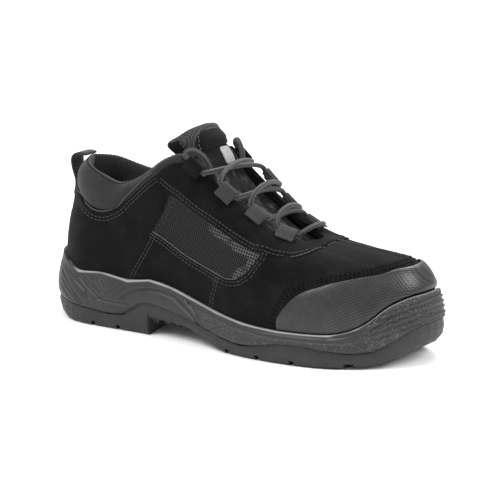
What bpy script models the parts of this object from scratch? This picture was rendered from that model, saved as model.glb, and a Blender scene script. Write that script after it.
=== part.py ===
"""Low-cut safety sneaker for the right foot, empty and standing on its sole.

Metres, +Z up, toe towards +X, medial side towards +Y. The origin is on the floor, under the middle of
the shoe's bounding box. Every piece is worked out from the named sizes and the short tables below.
A column of the upper climbs from the feather line, where the wall meets the sole, to the opening's edge.
"""

import math

import bmesh
import bpy
from mathutils import Matrix, Vector

# Overall sizes of the sole
SOLE_LENGTH = 0.292
BALL_WIDTH = 0.1045
HEEL_WIDTH = 0.0765
HEEL_STACK = 0.0367
TOE_SPRING = 0.0145
HEEL_BREAST_HEIGHT = 0.0111
LUG_DEPTH = 0.0035
LUG_GROOVE = 0.0032
RIM_LIP = 0.0026
PARTING_INSET = 0.0006
CORE_INSET = 0.0045
CORE_DEPTH = 0.0060
FOOTBED_HEEL = 0.0215

# Overall sizes of the upper
COLLAR_HEIGHT = 0.1122
INSTEP_HEIGHT = 0.1257
VAMP_HEIGHT = 0.0725
THROAT_LENGTH = 0.089
THROAT_WIDTH = 0.0484
FEATHER_INSET = 0.0063
WALL = 0.0022
SUEDE_STEP = 0.0010
OVERLAY = 0.0014
COLLAR_PAD = 0.0085
COLLAR_END_PAD = 0.45
COLLAR_HEEL_PAD = 0.5
TONGUE_THICK = 0.0045
TONGUE_PAD = 0.0085
TONGUE_RISE = 0.0170
TONGUE_SETBACK = 0.50
TONGUE_SWEEP = 0.016
TONGUE_CROWN = 0.0040
TONGUE_CLEARANCE = 0.0033
TONGUE_SEWN = 0.0005
TONGUE_CORE = 0.4 * THROAT_WIDTH
TONGUE_EDGE = 0.45
INSOLE_THICK = 0.0040

# Trim
LACE_WIDTH = 0.0036
LACE_SWING = 0.0090
LACE_OVER = 0.75
LACE_ARCH = 0.8
LACE_LIFT = 0.75
WEBBING_WIDTH = 0.0125
WEBBING_THICK = 0.0012
LOOP_LENGTH = 0.0120
PULL_LOOP_WIDTH = 0.014
PULL_LOOP_REACH = 0.0128
PULL_LOOP_THICK = 0.0016

# Length over which a seam's step runs, and over which the tongue leaves its seam, as shares of the sole
SEAM_STEP = 0.004
TONGUE_SEAM = 0.09

# Clearance between pieces that touch
GAP = 0.0003

LATERAL, MEDIAL = -1, 1


def table(names, *rows):
    """Rows of a table as dictionaries with named columns."""
    return [dict(zip(names.split(), row)) for row in rows]


# Plan of the sole: share of the length from the heel, then half widths and the middle line's shift.
SOLE_PLAN = table(
    "along lateral medial centre",
    (0.00, 0.46 * HEEL_WIDTH, 0.46 * HEEL_WIDTH, 0.0),
    (0.12, 0.50 * HEEL_WIDTH, 0.50 * HEEL_WIDTH, 0.0),
    (0.24, 0.50 * HEEL_WIDTH, 0.48 * HEEL_WIDTH, 0.0),
    (0.36, 0.38 * BALL_WIDTH, 0.31 * BALL_WIDTH, 0.0),
    (0.46, 0.41 * BALL_WIDTH, 0.30 * BALL_WIDTH, 0.0),
    (0.58, 0.48 * BALL_WIDTH, 0.37 * BALL_WIDTH, 0.0),
    (0.68, 0.51 * BALL_WIDTH, 0.45 * BALL_WIDTH, 0.01 * BALL_WIDTH),
    (0.80, 0.52 * BALL_WIDTH, 0.46 * BALL_WIDTH, 0.04 * BALL_WIDTH),
    (1.00, 0.47 * BALL_WIDTH, 0.43 * BALL_WIDTH, 0.10 * BALL_WIDTH),
)
HEEL_ROUND, HEEL_POWER = 0.155, 2.3
TOE_ROUND, TOE_POWER = 0.29, 2.25

# Where the heel block ends
BREAST = 0.318
BREAST_SKEW = 0.045

# Heights along the sole: tread, parting line of outsole and midsole, and the bed under the foot.
SOLE_HEIGHTS = table(
    "along tread parting bed",
    (0.000, 0.24 * HEEL_STACK, 0.45 * HEEL_STACK, FOOTBED_HEEL),
    (0.035, 0.09 * HEEL_STACK, 0.41 * HEEL_STACK, FOOTBED_HEEL),
    (0.080, 0.0, 0.36 * HEEL_STACK, FOOTBED_HEEL),
    (0.150, 0.0, 0.32 * HEEL_STACK, FOOTBED_HEEL),
    (0.212, 0.0, 0.28 * HEEL_STACK, FOOTBED_HEEL),
    (0.248, 0.0, 0.31 * HEEL_STACK, FOOTBED_HEEL),
    (0.280, 0.0, 0.50 * HEEL_STACK, FOOTBED_HEEL),
    (BREAST, 0.0, 0.61 * HEEL_STACK, 0.98 * FOOTBED_HEEL),
    (BREAST + 0.004, HEEL_BREAST_HEIGHT, 0.61 * HEEL_STACK, 0.98 * FOOTBED_HEEL),
    (0.362, 1.10 * HEEL_BREAST_HEIGHT, 0.58 * HEEL_STACK, 0.96 * FOOTBED_HEEL),
    (0.416, 1.03 * HEEL_BREAST_HEIGHT, 0.51 * HEEL_STACK, 0.91 * FOOTBED_HEEL),
    (0.480, 0.55 * HEEL_BREAST_HEIGHT, 0.40 * HEEL_STACK, 0.82 * FOOTBED_HEEL),
    (0.524, 0.16 * HEEL_BREAST_HEIGHT, 0.31 * HEEL_STACK, 0.74 * FOOTBED_HEEL),
    (0.548, 0.0, 0.27 * HEEL_STACK, 0.70 * FOOTBED_HEEL),
    (0.600, 0.0, 0.22 * HEEL_STACK, 0.64 * FOOTBED_HEEL),
    (0.700, 0.0, 0.36 * HEEL_STACK, 0.57 * FOOTBED_HEEL),
    (0.745, 0.0, 0.40 * HEEL_STACK, 0.56 * FOOTBED_HEEL),
    (0.800, 0.0, 0.365 * HEEL_STACK, 0.57 * FOOTBED_HEEL),
    (0.870, 0.07 * TOE_SPRING, 0.29 * HEEL_STACK, 0.61 * FOOTBED_HEEL),
    (0.905, 0.15 * TOE_SPRING, 0.31 * HEEL_STACK, 0.66 * FOOTBED_HEEL),
    (0.940, 0.30 * TOE_SPRING, 0.43 * HEEL_STACK, 0.74 * FOOTBED_HEEL),
    (1.000, TOE_SPRING, 0.77 * HEEL_STACK, 0.84 * HEEL_STACK),
)

# Top line of the midsole's rim, where the upper leaves the sole.
RIM_LINE = table(
    "along lateral medial",
    (0.00, 1.26 * HEEL_STACK, 1.26 * HEEL_STACK),
    (0.04, 1.20 * HEEL_STACK, 1.20 * HEEL_STACK),
    (0.11, 1.00 * HEEL_STACK, 1.00 * HEEL_STACK),
    (0.18, 1.06 * HEEL_STACK, 1.06 * HEEL_STACK),
    (0.26, 0.97 * HEEL_STACK, 0.99 * HEEL_STACK),
    (0.32, 1.06 * HEEL_STACK, 1.10 * HEEL_STACK),
    (0.38, 1.00 * HEEL_STACK, 1.05 * HEEL_STACK),
    (0.44, 0.87 * HEEL_STACK, 0.92 * HEEL_STACK),
    (0.52, 0.72 * HEEL_STACK, 0.76 * HEEL_STACK),
    (0.60, 0.63 * HEEL_STACK, 0.66 * HEEL_STACK),
    (0.70, 0.60 * HEEL_STACK, 0.62 * HEEL_STACK),
    (0.83, 0.62 * HEEL_STACK, 0.63 * HEEL_STACK),
    (0.89, 0.76 * HEEL_STACK, 0.76 * HEEL_STACK),
    (0.94, 1.12 * HEEL_STACK, 1.04 * HEEL_STACK),
    (1.00, 1.31 * HEEL_STACK, 1.31 * HEEL_STACK),
)

# Opening's edge, from the heel along the collar to its front corner, then down the throat to the vamp.
CORNER = 0.42
THROAT_END = 0.80
OPENING = table(
    "along reach half lateral medial",
    (0.00, -0.430, 0.00 * THROAT_WIDTH, 1.00 * COLLAR_HEIGHT, 1.00 * COLLAR_HEIGHT),
    (0.05, -0.408, 0.34 * THROAT_WIDTH, 0.99 * COLLAR_HEIGHT, 0.98 * COLLAR_HEIGHT),
    (0.12, -0.358, 0.52 * THROAT_WIDTH, 0.95 * COLLAR_HEIGHT, 0.93 * COLLAR_HEIGHT),
    (0.20, -0.285, 0.58 * THROAT_WIDTH, 0.90 * COLLAR_HEIGHT, 0.90 * COLLAR_HEIGHT),
    (0.28, -0.215, 0.59 * THROAT_WIDTH, 0.98 * COLLAR_HEIGHT, 0.97 * COLLAR_HEIGHT),
    (0.35, -0.155, 0.56 * THROAT_WIDTH, 0.97 * INSTEP_HEIGHT, 0.97 * INSTEP_HEIGHT),
    (0.39, -0.128, 0.54 * THROAT_WIDTH, 1.01 * INSTEP_HEIGHT, 1.01 * INSTEP_HEIGHT),
    (CORNER, -0.100, 0.53 * THROAT_WIDTH, 1.00 * INSTEP_HEIGHT, 1.00 * INSTEP_HEIGHT),
)


# The throat in front of the corner: share of its length, half width, and share of the fall to the vamp.
THROAT = table(
    "share half fall",
    (0.25, 0.48 * THROAT_WIDTH, 0.32),
    (0.50, 0.41 * THROAT_WIDTH, 0.64),
    (0.75, 0.34 * THROAT_WIDTH, 0.91),
    (0.92, 0.24 * THROAT_WIDTH, 1.0),
    (0.98, 0.13 * THROAT_WIDTH, 1.0),
    (1.00, 0.00 * THROAT_WIDTH, 1.0),
)
ROUND_END = 0.92


def throat_rows():
    """The opening's edge down the throat: it narrows to a round front end."""
    rows = []
    start = OPENING[-1]
    for row in THROAT:
        share = row["share"]
        # The last rows turn round the front end, where the toe's columns meet the throat.
        along = start["along"] + (THROAT_END - start["along"]) * min(share / ROUND_END, 1.0)
        along += (1.0 - THROAT_END) * max(share - ROUND_END, 0.0) / (1.0 - ROUND_END)
        height = INSTEP_HEIGHT + (VAMP_HEIGHT - INSTEP_HEIGHT) * row["fall"]
        rows.append({
            "along": along,
            "reach": start["reach"] + share * THROAT_LENGTH / SOLE_LENGTH,
            "half": row["half"],
            "lateral": height,
            "medial": height,
        })
    return rows


OPENING += throat_rows()

# Section of the upper along a column: how far it turns over (degrees), its fullness, the share of the run
# that the turn takes, the share of the climb left to the slope after it, and how far the wall bulges.
SECTIONS = table(
    "along turn fullness run slope bulge",
    (0.00, 24.0, 2.0, 1.00, 0.00, 0.010 * HEEL_WIDTH),
    (0.12, 32.0, 2.0, 1.00, 0.00, 0.010 * HEEL_WIDTH),
    (0.28, 46.0, 2.1, 1.00, 0.00, 0.016 * HEEL_WIDTH),
    (0.42, 58.0, 2.2, 1.00, 0.00, 0.018 * BALL_WIDTH),
    (0.58, 70.0, 2.3, 1.00, 0.00, 0.022 * BALL_WIDTH),
    (0.74, 84.0, 2.5, 0.94, 0.04, 0.028 * BALL_WIDTH),
    (0.84, 90.0, 2.7, 0.66, 0.10, 0.022 * BALL_WIDTH),
    (0.92, 90.0, 2.9, 0.48, 0.14, 0.014 * BALL_WIDTH),
    (1.00, 90.0, 3.0, 0.40, 0.14, 0.008 * BALL_WIDTH),
)

# Seam lines, as shares of the climb: collar's lower edge, eyestay's lower edge, toe cap's upper edge and
# the textile window's lower edge.
SEAMS = table(
    "along collar eyestay cap window",
    (0.00, 0.80, 0.96, 0.00, 0.40),
    (0.09, 0.75, 0.96, 0.00, 0.40),
    (0.14, 0.71, 0.96, 0.00, 0.42),
    (0.19, 0.74, 0.96, 0.00, 0.46),
    (0.24, 0.83, 0.96, 0.00, 0.52),
    (0.29, 0.90, 0.95, 0.00, 0.54),
    (0.33, 0.925, 0.87, 0.00, 0.52),
    (0.38, 0.94, 0.75, 0.00, 0.42),
    (0.42, 0.945, 0.70, 0.00, 0.38),
    (0.50, 0.95, 0.68, 0.00, 0.36),
    (0.58, 0.95, 0.665, 0.00, 0.40),
    (0.64, 0.95, 0.65, 0.00, 0.52),
    (0.695, 0.95, 0.66, 0.20, 0.48),
    (0.715, 0.95, 0.67, 0.33, 0.46),
    (0.735, 0.95, 0.68, 0.39, 0.46),
    (0.76, 0.95, 0.70, 0.43, 0.46),
    (0.84, 0.95, 0.79, 0.47, 0.45),
    (0.91, 0.95, 0.86, 0.455, 0.44),
    (0.97, 0.95, 0.885, 0.395, 0.44),
    (1.00, 0.95, 0.90, 0.34, 0.44),
)
WINDOW_REAR, WINDOW_FRONT = 0.350, 0.64
CAP_REAR = 0.695
EYESTAY_REAR = 0.335
LOOP_ALONG = (0.464, 0.565, 0.658, 0.752)
TONGUE_PATCH_ROWS = (5.5, 8.5)


def lookup(rows, column, at):
    """Smooth value of a table's column, with no overshoot between its rows."""
    xs = [row["along"] for row in rows]
    ys = [row[column] for row in rows]
    if at <= xs[0]:
        return ys[0]
    if at >= xs[-1]:
        return ys[-1]
    i = max(k for k in range(len(xs) - 1) if xs[k] <= at)

    def slope(k):
        if k in (0, len(xs) - 1):
            return 0.0
        left = (ys[k] - ys[k - 1]) / (xs[k] - xs[k - 1])
        right = (ys[k + 1] - ys[k]) / (xs[k + 1] - xs[k])
        if left * right <= 0:
            return 0.0
        return 2 * left * right / (left + right)

    step = xs[i + 1] - xs[i]
    t = (at - xs[i]) / step
    return (
        ys[i] * (1 + 2 * t) * (1 - t) ** 2
        + ys[i + 1] * t * t * (3 - 2 * t)
        + step * (slope(i) * t * (1 - t) ** 2 - slope(i + 1) * t * t * (1 - t))
    )


def around_of(side, along):
    """Place round the loop: 0 at the heel, 0.5 at the toe, lateral side first."""
    half = math.acos(1 - 2 * min(max(along, 0.0), 1.0)) / (2 * math.pi)
    return half if side == LATERAL else 1.0 - half


def side_and_along(around):
    around %= 1.0
    side = LATERAL if around <= 0.5 else MEDIAL
    return side, (1 - math.cos(2 * math.pi * around)) / 2


def end_round(along):
    """1 along the sides, falling to 0 at the tips of heel and toe."""
    share = 1.0
    if along < HEEL_ROUND:
        share = (1 - (1 - along / HEEL_ROUND) ** HEEL_POWER) ** (1 / HEEL_POWER)
    if along > 1 - TOE_ROUND:
        into = min((1 - along) / TOE_ROUND, 1.0)
        share = (1 - (1 - into) ** TOE_POWER) ** (1 / TOE_POWER)
    return share


def plan_point(around):
    side, along = side_and_along(around)
    half = lookup(SOLE_PLAN, "lateral" if side == LATERAL else "medial", along)
    y = lookup(SOLE_PLAN, "centre", along) + side * half * end_round(along)
    return Vector(((along - 0.5) * SOLE_LENGTH, y))


def outline(around, inset=0.0):
    """Plan point of the sole's edge, moved inwards by inset."""
    step = 0.004
    tangent = plan_point(around + step) - plan_point(around - step)
    inwards = Vector((-tangent.y, tangent.x)).normalized()
    return plan_point(around) + inwards * inset


def opening_point(around):
    side, along = side_and_along(around)
    height = lookup(OPENING, "lateral" if side == LATERAL else "medial", along)
    y = side * lookup(OPENING, "half", along)
    y += lookup(SOLE_PLAN, "centre", along) * min(1.0, along / THROAT_END) * 0.4
    return Vector((lookup(OPENING, "reach", along) * SOLE_LENGTH, y, height))


def column(around):
    """Points up the wall's outer face at one place round the shoe, from the bed to the opening."""
    along = side_and_along(around)[1]
    foot = outline(around, FEATHER_INSET)
    edge = opening_point(around)
    base = lookup(SOLE_HEIGHTS, "bed", along)
    turn = math.radians(lookup(SECTIONS, "turn", along))
    power = 2 / lookup(SECTIONS, "fullness", along)
    run = lookup(SECTIONS, "run", along)
    slope = lookup(SECTIONS, "slope", along)
    bulge = lookup(SECTIONS, "bulge", along)
    inwards = Vector((edge.x, edge.y)) - foot
    outwards = -inwards.normalized()
    whole_run = 1 - max(math.cos(turn), 0.0) ** power
    whole_climb = math.sin(turn) ** power
    shares = []
    corner_steps, slope_steps = 16, 8
    for k in range(corner_steps + 1):
        angle = turn * k / corner_steps
        shares.append((
            run * (1 - max(math.cos(angle), 0.0) ** power) / whole_run,
            (1 - slope) * math.sin(angle) ** power / whole_climb,
        ))
    if run < 1:
        for k in range(1, slope_steps + 1):
            shares.append((run + (1 - run) * k / slope_steps, 1 - slope))
    points = []
    for across, climb in shares:
        climb += slope * across ** 1.5
        flat = foot + inwards * across + outwards * bulge * math.sin(math.pi * min(climb, 1.0)) ** 1.2
        points.append(Vector((flat.x, flat.y, base + (edge.z - base) * climb)))
    return points


def point_on(points, share):
    """The point at this share of a polyline's length."""
    lengths = [0.0]
    for a, b in zip(points, points[1:]):
        lengths.append(lengths[-1] + (b - a).length)
    target = min(max(share, 0.0), 1.0) * lengths[-1]
    for k in range(len(points) - 1):
        if target <= lengths[k + 1]:
            step = lengths[k + 1] - lengths[k]
            return points[k].lerp(points[k + 1], (target - lengths[k]) / step if step else 0.0)
    return points[-1].copy()


def wall_point(around, climb, offset=0.0):
    """The upper's own function: a point of its outer face, moved out along the normal by offset."""
    here = point_on(column(around), climb)
    if not offset:
        return here
    step_round, step_up = 0.004, 0.03
    low, high = max(climb - step_up, 0.0), min(climb + step_up, 1.0)
    up = point_on(column(around), high) - point_on(column(around), low)
    along = point_on(column(around + step_round), climb) - point_on(column(around - step_round), climb)
    return here + along.cross(up).normalized() * offset


def column_length(around):
    points = column(around)
    return sum((b - a).length for a, b in zip(points, points[1:]))


def climb_at_height(around, height):
    """Share of the climb at which the wall reaches a height."""
    points = column(around)
    low, high = 0.0, 1.0
    for _ in range(24):
        middle = (low + high) / 2
        if point_on(points, middle).z < height:
            low = middle
        else:
            high = middle
    return low


def rim_height(around):
    side, along = side_and_along(around)
    return lookup(RIM_LINE, "lateral" if side == LATERAL else "medial", along)


def seam(name, around):
    return lookup(SEAMS, name, side_and_along(around)[1])


def window_relief(around, climb):
    """Height of the suede over the textile window: 0 inside the window, SUEDE_STEP outside."""
    along = side_and_along(around)[1]
    inside = (
        WINDOW_REAR <= along <= WINDOW_FRONT
        and seam("window", around) <= climb <= eyestay_low(around)
    )
    return 0.0 if inside else SUEDE_STEP


def turned_outwards(vertices, faces):
    """The faces, all turned over if they look inwards. Each keeps its first corner, and so its diagonal."""
    volume = 0.0
    for face in faces:
        first = Vector(vertices[face[0]])
        for b, c in zip(face[1:], face[2:]):
            volume += first.dot(Vector(vertices[b]).cross(Vector(vertices[c])))
    if volume > 0:
        return faces
    return [(face[0],) + tuple(face[:0:-1]) for face in faces]


def mesh_object(name, vertices, faces, material, smooth_angle=40.0):
    mesh = bpy.data.meshes.new(name)
    mesh.from_pydata([tuple(v) for v in vertices], [], turned_outwards(vertices, faces))
    mesh.shade_smooth()
    mesh.set_sharp_from_angle(angle=math.radians(smooth_angle))
    mesh.materials.append(material)
    made_object = bpy.data.objects.new(name, mesh)
    collection.objects.link(made_object)
    return made_object


def skin(name, rings, material, closed_path=False, caps="pairs"):
    """A solid from rings of equal length, joined one to the next, and closed at both ends.

    Caps are strips across the ring. With "pairs" the ring runs out along one face and back along the other;
    with "tips" it starts at the heel's tip and turns at the toe's. Faces on the way back start one corner
    later, so that the diagonals of pieces that lie on one another run the same way.
    """
    count = len(rings[0])
    half = count // 2
    vertices = [p for ring in rings for p in ring]
    joins = list(zip(range(len(rings) - 1), range(1, len(rings))))
    if closed_path:
        joins.append((len(rings) - 1, 0))
    faces = []
    for a, b in joins:
        for k in range(count):
            n = (k + 1) % count
            face = (a * count + k, a * count + n, b * count + n, b * count + k)
            faces.append(face[1:] + face[:1] if caps == "pairs" and k >= half else face)
    if closed_path:
        return mesh_object(name, vertices, faces, material)
    if caps == "tips":
        cap = [(0, 1, count - 1), (half - 1, half, half + 1)]
        cap += [(k, k + 1, count - k - 1, count - k) for k in range(1, half - 1)]
    else:
        cap = [(k, k + 1, count - k - 2, count - k - 1) for k in range(half - 1)]
    last = (len(rings) - 1) * count
    faces += [tuple(reversed(face)) for face in cap]
    faces += [tuple(last + k for k in face) for face in cap]
    return mesh_object(name, vertices, faces, material)


def principled(name, colour, roughness, metallic=0.0):
    material = bpy.data.materials.new(name)
    material.use_nodes = True
    shader = material.node_tree.nodes["Principled BSDF"]
    shader.inputs["Base Color"].default_value = (*colour, 1.0)
    shader.inputs["Roughness"].default_value = roughness
    shader.inputs["Metallic"].default_value = metallic
    material.diffuse_color = (*colour, 1.0)
    return material


def mirrored_arounds(alongs):
    """Places round the whole loop at these stations: heel, lateral side, toe, then medial side back."""
    inner = [a for a in alongs if 0.0 < a < 1.0]
    lateral = [around_of(LATERAL, a) for a in inner]
    medial = [around_of(MEDIAL, a) for a in reversed(inner)]
    return [0.0] + lateral + [0.5] + medial


def cosine_stations(count):
    return [(1 - math.cos(math.pi * k / count)) / 2 for k in range(count + 1)]


def with_extra(stations, extra, apart=0.006):
    """Stations plus some exact ones, leaving out those that lie too near an exact one."""
    kept = [s for s in stations if all(abs(s - e) > apart for e in extra)]
    return sorted(kept + list(extra))


def remove_startup_objects():
    for old in list(bpy.data.objects):
        bpy.data.objects.remove(old, do_unlink=True)


def shoe_stations():
    """Stations of the lateral side, shared by outsole, midsole and upper so that their faces run side by side."""
    half = SEAM_STEP / 2
    exact = [BREAST, BREAST + 0.004, CORNER - half, CORNER + half, CAP_REAR, CAP_REAR + 0.009]
    for line in (WINDOW_REAR, WINDOW_FRONT):
        exact += [line - half, line + half]
    return with_extra(cosine_stations(30), exact)


def medial_station(along):
    """The heel's breast is slanted, so stations near it lie further back on the medial side."""
    behind, ahead = BREAST - 0.19, BREAST + 0.045
    if behind < along <= BREAST:
        return along - BREAST_SKEW * (along - behind) / (BREAST - behind)
    if BREAST < along < ahead:
        return along - BREAST_SKEW * (ahead - along) / (ahead - BREAST)
    return along


def shoe_arounds():
    """Places round the whole shoe: heel, lateral side, toe, then the medial side back."""
    inner = [along for along in shoe_stations() if 0.0 < along < 1.0]
    lateral = [around_of(LATERAL, along) for along in inner]
    medial = [around_of(MEDIAL, medial_station(along)) for along in reversed(inner)]
    return [0.0] + lateral + [0.5] + medial


def core_ring(arounds, apart):
    """Inner edge of the joint between outsole and midsole, sunk below the bed under the foot."""
    ring = []
    for around in arounds:
        along = side_and_along(around)[1]
        bed = lookup(SOLE_HEIGHTS, "bed", along) - CORE_DEPTH
        flat = outline(around, CORE_INSET + apart)
        ring.append((flat.x, flat.y, min(lookup(SOLE_HEIGHTS, "parting", along), bed) + apart))
    return ring


def build_outsole(material):
    arounds = shoe_arounds()
    inner = [along for along in shoe_stations() if 0.0 < along < 1.0]
    stations = [0.0] + inner + [1.0] + inner[::-1]
    rings = []
    for rise, inset in ((0.0, 0.0030), (0.2, 0.0010), (0.6, 0.0), (1.0, PARTING_INSET)):
        ring = []
        for around, along in zip(arounds, stations):
            tread = lookup(SOLE_HEIGHTS, "tread", along)
            parting = lookup(SOLE_HEIGHTS, "parting", side_and_along(around)[1])
            flat = outline(around, inset)
            ring.append((flat.x, flat.y, tread + (parting - tread) * rise))
        rings.append(ring)
    rings.append(core_ring(arounds, 0.0))
    outsole = skin("outsole", rings, material, caps="tips")
    for name, blocks in (("grooves_across", grooves_across()), ("grooves_along", grooves_along())):
        cut = outsole.modifiers.new(name, "BOOLEAN")
        cut.operation = "DIFFERENCE"
        cut.object = box_cutter(name, blocks)
    return outsole


# Grooves of the tread: station, width and slant, as shares of the groove's width and of the sole's width.
GROOVES = table(
    "along width slant",
    (0.160, 1.0, 0.0),
    (0.232, 1.0, 0.0),
    (0.575, 1.0, 0.05),
    (0.662, 1.0, 0.05),
    (0.752, 1.2, 0.05),
    (0.858, 2.0, -0.05),
)


def grooves_across():
    """Corners of the blocks that cut the tread from side to side."""
    blocks = []
    reach = 0.7 * BALL_WIDTH
    for row in GROOVES:
        x = (row["along"] - 0.5) * SOLE_LENGTH
        half = row["width"] * LUG_GROOVE / 2
        top = lookup(SOLE_HEIGHTS, "tread", row["along"]) + LUG_DEPTH
        lean = row["slant"] * BALL_WIDTH
        floor = [(x - half - lean, -reach), (x + half - lean, -reach), (x + half + lean, reach), (x - half + lean, reach)]
        blocks.append([(px, py, -0.01) for px, py in floor] + [(px, py, top) for px, py in floor])
    return blocks


def grooves_along():
    """Corners of the blocks that cut the tread lengthwise, short of the edge."""
    blocks = []
    for first, last, share in ((0.10, 0.27, 0.0), (0.60, 0.88, 0.16), (0.60, 0.88, -0.16)):
        y = share * BALL_WIDTH
        half = LUG_GROOVE / 2
        start, end = ((along - 0.5) * SOLE_LENGTH for along in (first, last))
        floor = [(start, y - half), (end, y - half), (end, y + half), (start, y + half)]
        blocks.append([(px, py, -0.01) for px, py in floor] + [(px, py, 0.8 * LUG_DEPTH) for px, py in floor])
    return blocks


def box_cutter(name, blocks):
    vertices, faces = [], []
    for corners in blocks:
        n = len(vertices)
        vertices += corners
        faces += [(n, n + 3, n + 2, n + 1), (n + 4, n + 5, n + 6, n + 7)]
        faces += [(n + k, n + (k + 1) % 4, n + 4 + (k + 1) % 4, n + 4 + k) for k in range(4)]
    mesh = bpy.data.meshes.new(name)
    mesh.from_pydata(vertices, [], faces)
    cutter = bpy.data.objects.new(name, mesh)
    cutters.objects.link(cutter)
    cutter.hide_render = True
    return cutter


# Outer wall of the midsole from the parting line to the rim: share of the rise, share of the lean onto the
# upper, and how far it stands out along the sides and on the toe's ribs, in shares of RIM_LIP.
MIDSOLE_WALL = table(
    "rise lean side toe",
    (0.00, 0.00, -0.25, -0.25),
    (0.07, 0.00, 0.45, 0.40),
    (0.22, 0.04, 0.60, 0.45),
    (0.36, 0.10, 0.58, 0.10),
    (0.50, 0.20, 0.50, 0.50),
    (0.64, 0.36, 0.40, 0.10),
    (0.76, 0.54, 0.32, 0.50),
    (0.82, 0.64, -0.10, 0.10),
    (0.93, 0.86, -0.12, 0.40),
    (1.00, 1.00, -0.20, 0.00),
)


def build_midsole(material):
    arounds = shoe_arounds()
    rings = [core_ring(arounds, GAP)]
    for row in MIDSOLE_WALL:
        ring = []
        for around in arounds:
            along = side_and_along(around)[1]
            parting = lookup(SOLE_HEIGHTS, "parting", along) + GAP
            rim = rim_height(around)
            toe = min(max((along - 0.88) / 0.05, 0.0), 1.0)
            stand = (row["side"] + (row["toe"] - row["side"]) * toe) * RIM_LIP
            foot = outline(around, -stand if row["rise"] else PARTING_INSET)
            inner = wall_point(around, climb_at_height(around, rim), SUEDE_STEP + GAP + RIM_LIP)
            flat = Vector((foot.x, foot.y)).lerp(Vector((inner.x, inner.y)), row["lean"])
            ring.append((flat.x, flat.y, parting + (rim - parting) * row["rise"]))
        rings.append(ring)
    # Inner wall of the cup, down along the upper to the bed.
    for share in (1.0, 0.5, 0.0):
        ring = []
        for around in arounds:
            climb = climb_at_height(around, rim_height(around)) * share
            inner = wall_point(around, climb, SUEDE_STEP + GAP)
            if share == 1.0:
                inner.z = rim_height(around)
            if share == 0.0:
                inner.z -= GAP
            ring.append(inner)
        rings.append(ring)
    return skin("midsole", rings[::-1], material, caps="tips")


def wall_top(around):
    """The shell ends under the collar behind the front corner, and at the throat's edge in front of it."""
    along = side_and_along(around)[1]
    return seam("collar", around) - GAP / 0.1 if along < CORNER else 1.0


def eyestay_low(around):
    return min(seam("eyestay", around), wall_top(around) - 2 * SEAM_STEP / 0.1)


def eyestay_rows(around):
    low, high = eyestay_low(around) + SEAM_STEP / 0.2, wall_top(around)
    return [low + (high - low) * share for share in (0.0, 0.08, 0.40, 0.72, 1.0)]


def wall_rows(around):
    """Climbs of the upper's rows at one place. The pieces that lie on it share them."""
    window, low, half = seam("window", around), eyestay_low(around), SEAM_STEP / 0.2
    rows = [0.0, 0.5 * window, window - half, window + half]
    rows += [window + (low - window) * share for share in (0.35, 0.68)]
    return rows + [low - half] + eyestay_rows(around)


def build_upper(material):
    rings = []
    for around in shoe_arounds():
        along = side_and_along(around)[1]
        climbs = wall_rows(around)
        outer = [wall_point(around, climb, window_relief(around, climb)) for climb in climbs]
        inner = [wall_point(around, climb, -WALL) for climb in climbs]
        rings.append(outer + inner[::-1])
    return skin("upper", rings, material, closed_path=True)


def stations_between(first, last, count):
    return [first + (last - first) * k / count for k in range(count + 1)]


def build_insole(material):
    arounds = mirrored_arounds(cosine_stations(20))
    rings = []
    for lift, inset in ((GAP, 0.0008), (0.6 * INSOLE_THICK, 0.0), (INSOLE_THICK, 0.0012)):
        ring = []
        for around in arounds:
            bed = lookup(SOLE_HEIGHTS, "bed", side_and_along(around)[1])
            climb = climb_at_height(around, bed + lift)
            point = wall_point(around, climb, -(WALL + 4 * GAP + inset))
            ring.append((point.x, point.y, bed + lift))
        rings.append(ring)
    return skin("insole", rings, material, caps="tips")


def arounds_within(first, last):
    """The shoe's own places between two others, with those two at the ends."""
    kept = [a for a in shoe_arounds() if first + 0.003 < a < last - 0.003]
    return [first] + kept + [last]


def overlay(name, arounds, rows_of, material, gap=GAP):
    """A thin piece on the upper, skived along its lower and upper edges."""
    under = SUEDE_STEP + gap
    rings = []
    for around in arounds:
        rows = rows_of(around)
        thick = [0.45] + [1.0] * (len(rows) - 2) + [0.45]
        outer = [wall_point(around, climb, under + OVERLAY * t) for climb, t in zip(rows, thick)]
        inner = [wall_point(around, climb, under) for climb in rows]
        rings.append(outer + inner[::-1])
    return skin(name, rings, material)


def toe_cap_rows(around):
    low = climb_at_height(around, rim_height(around) + 2 * GAP)
    skive = SEAM_STEP / 0.2
    high = max(seam("cap", around), low + 4 * skive)
    places = [low + skive] + [low + skive + (high - low - 2 * skive) * share for share in (0.33, 0.66, 1.0)]
    for climb in wall_rows(around):
        if low + skive < climb < high - skive:
            nearest = min(range(1, 4), key=lambda k: abs(places[k] - climb))
            places[nearest] = climb if nearest < 3 else places[nearest]
    return [low] + sorted(places) + [high]


def build_toe_cap(material):
    """Scuff cap over the toe, from the sole's rim to the cap's seam."""
    arounds = arounds_within(around_of(LATERAL, CAP_REAR), around_of(MEDIAL, CAP_REAR))
    return overlay("toe_cap", arounds, toe_cap_rows, material, 1.7 * GAP)


def build_eyestay(material):
    """Facing round the throat, from the collar's front corner on one side to the other."""
    arounds = arounds_within(around_of(LATERAL, EYESTAY_REAR), around_of(MEDIAL, EYESTAY_REAR))
    return overlay("eyestay", arounds, eyestay_rows, material)


# Section of the padded collar: share of its height, then how far it stands out, in pad thicknesses.
COLLAR_SECTION = (
    (0.00, 0.10),
    (0.18, 0.26),
    (0.45, 0.34),
    (0.72, 0.24),
    (0.92, -0.02),
    (1.00, -0.32),
    (0.98, -0.58),
    (0.84, -0.82),
    (0.58, -0.92),
    (0.26, -0.84),
    (0.08, -0.66),
    (0.00, -0.40),
)


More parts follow.
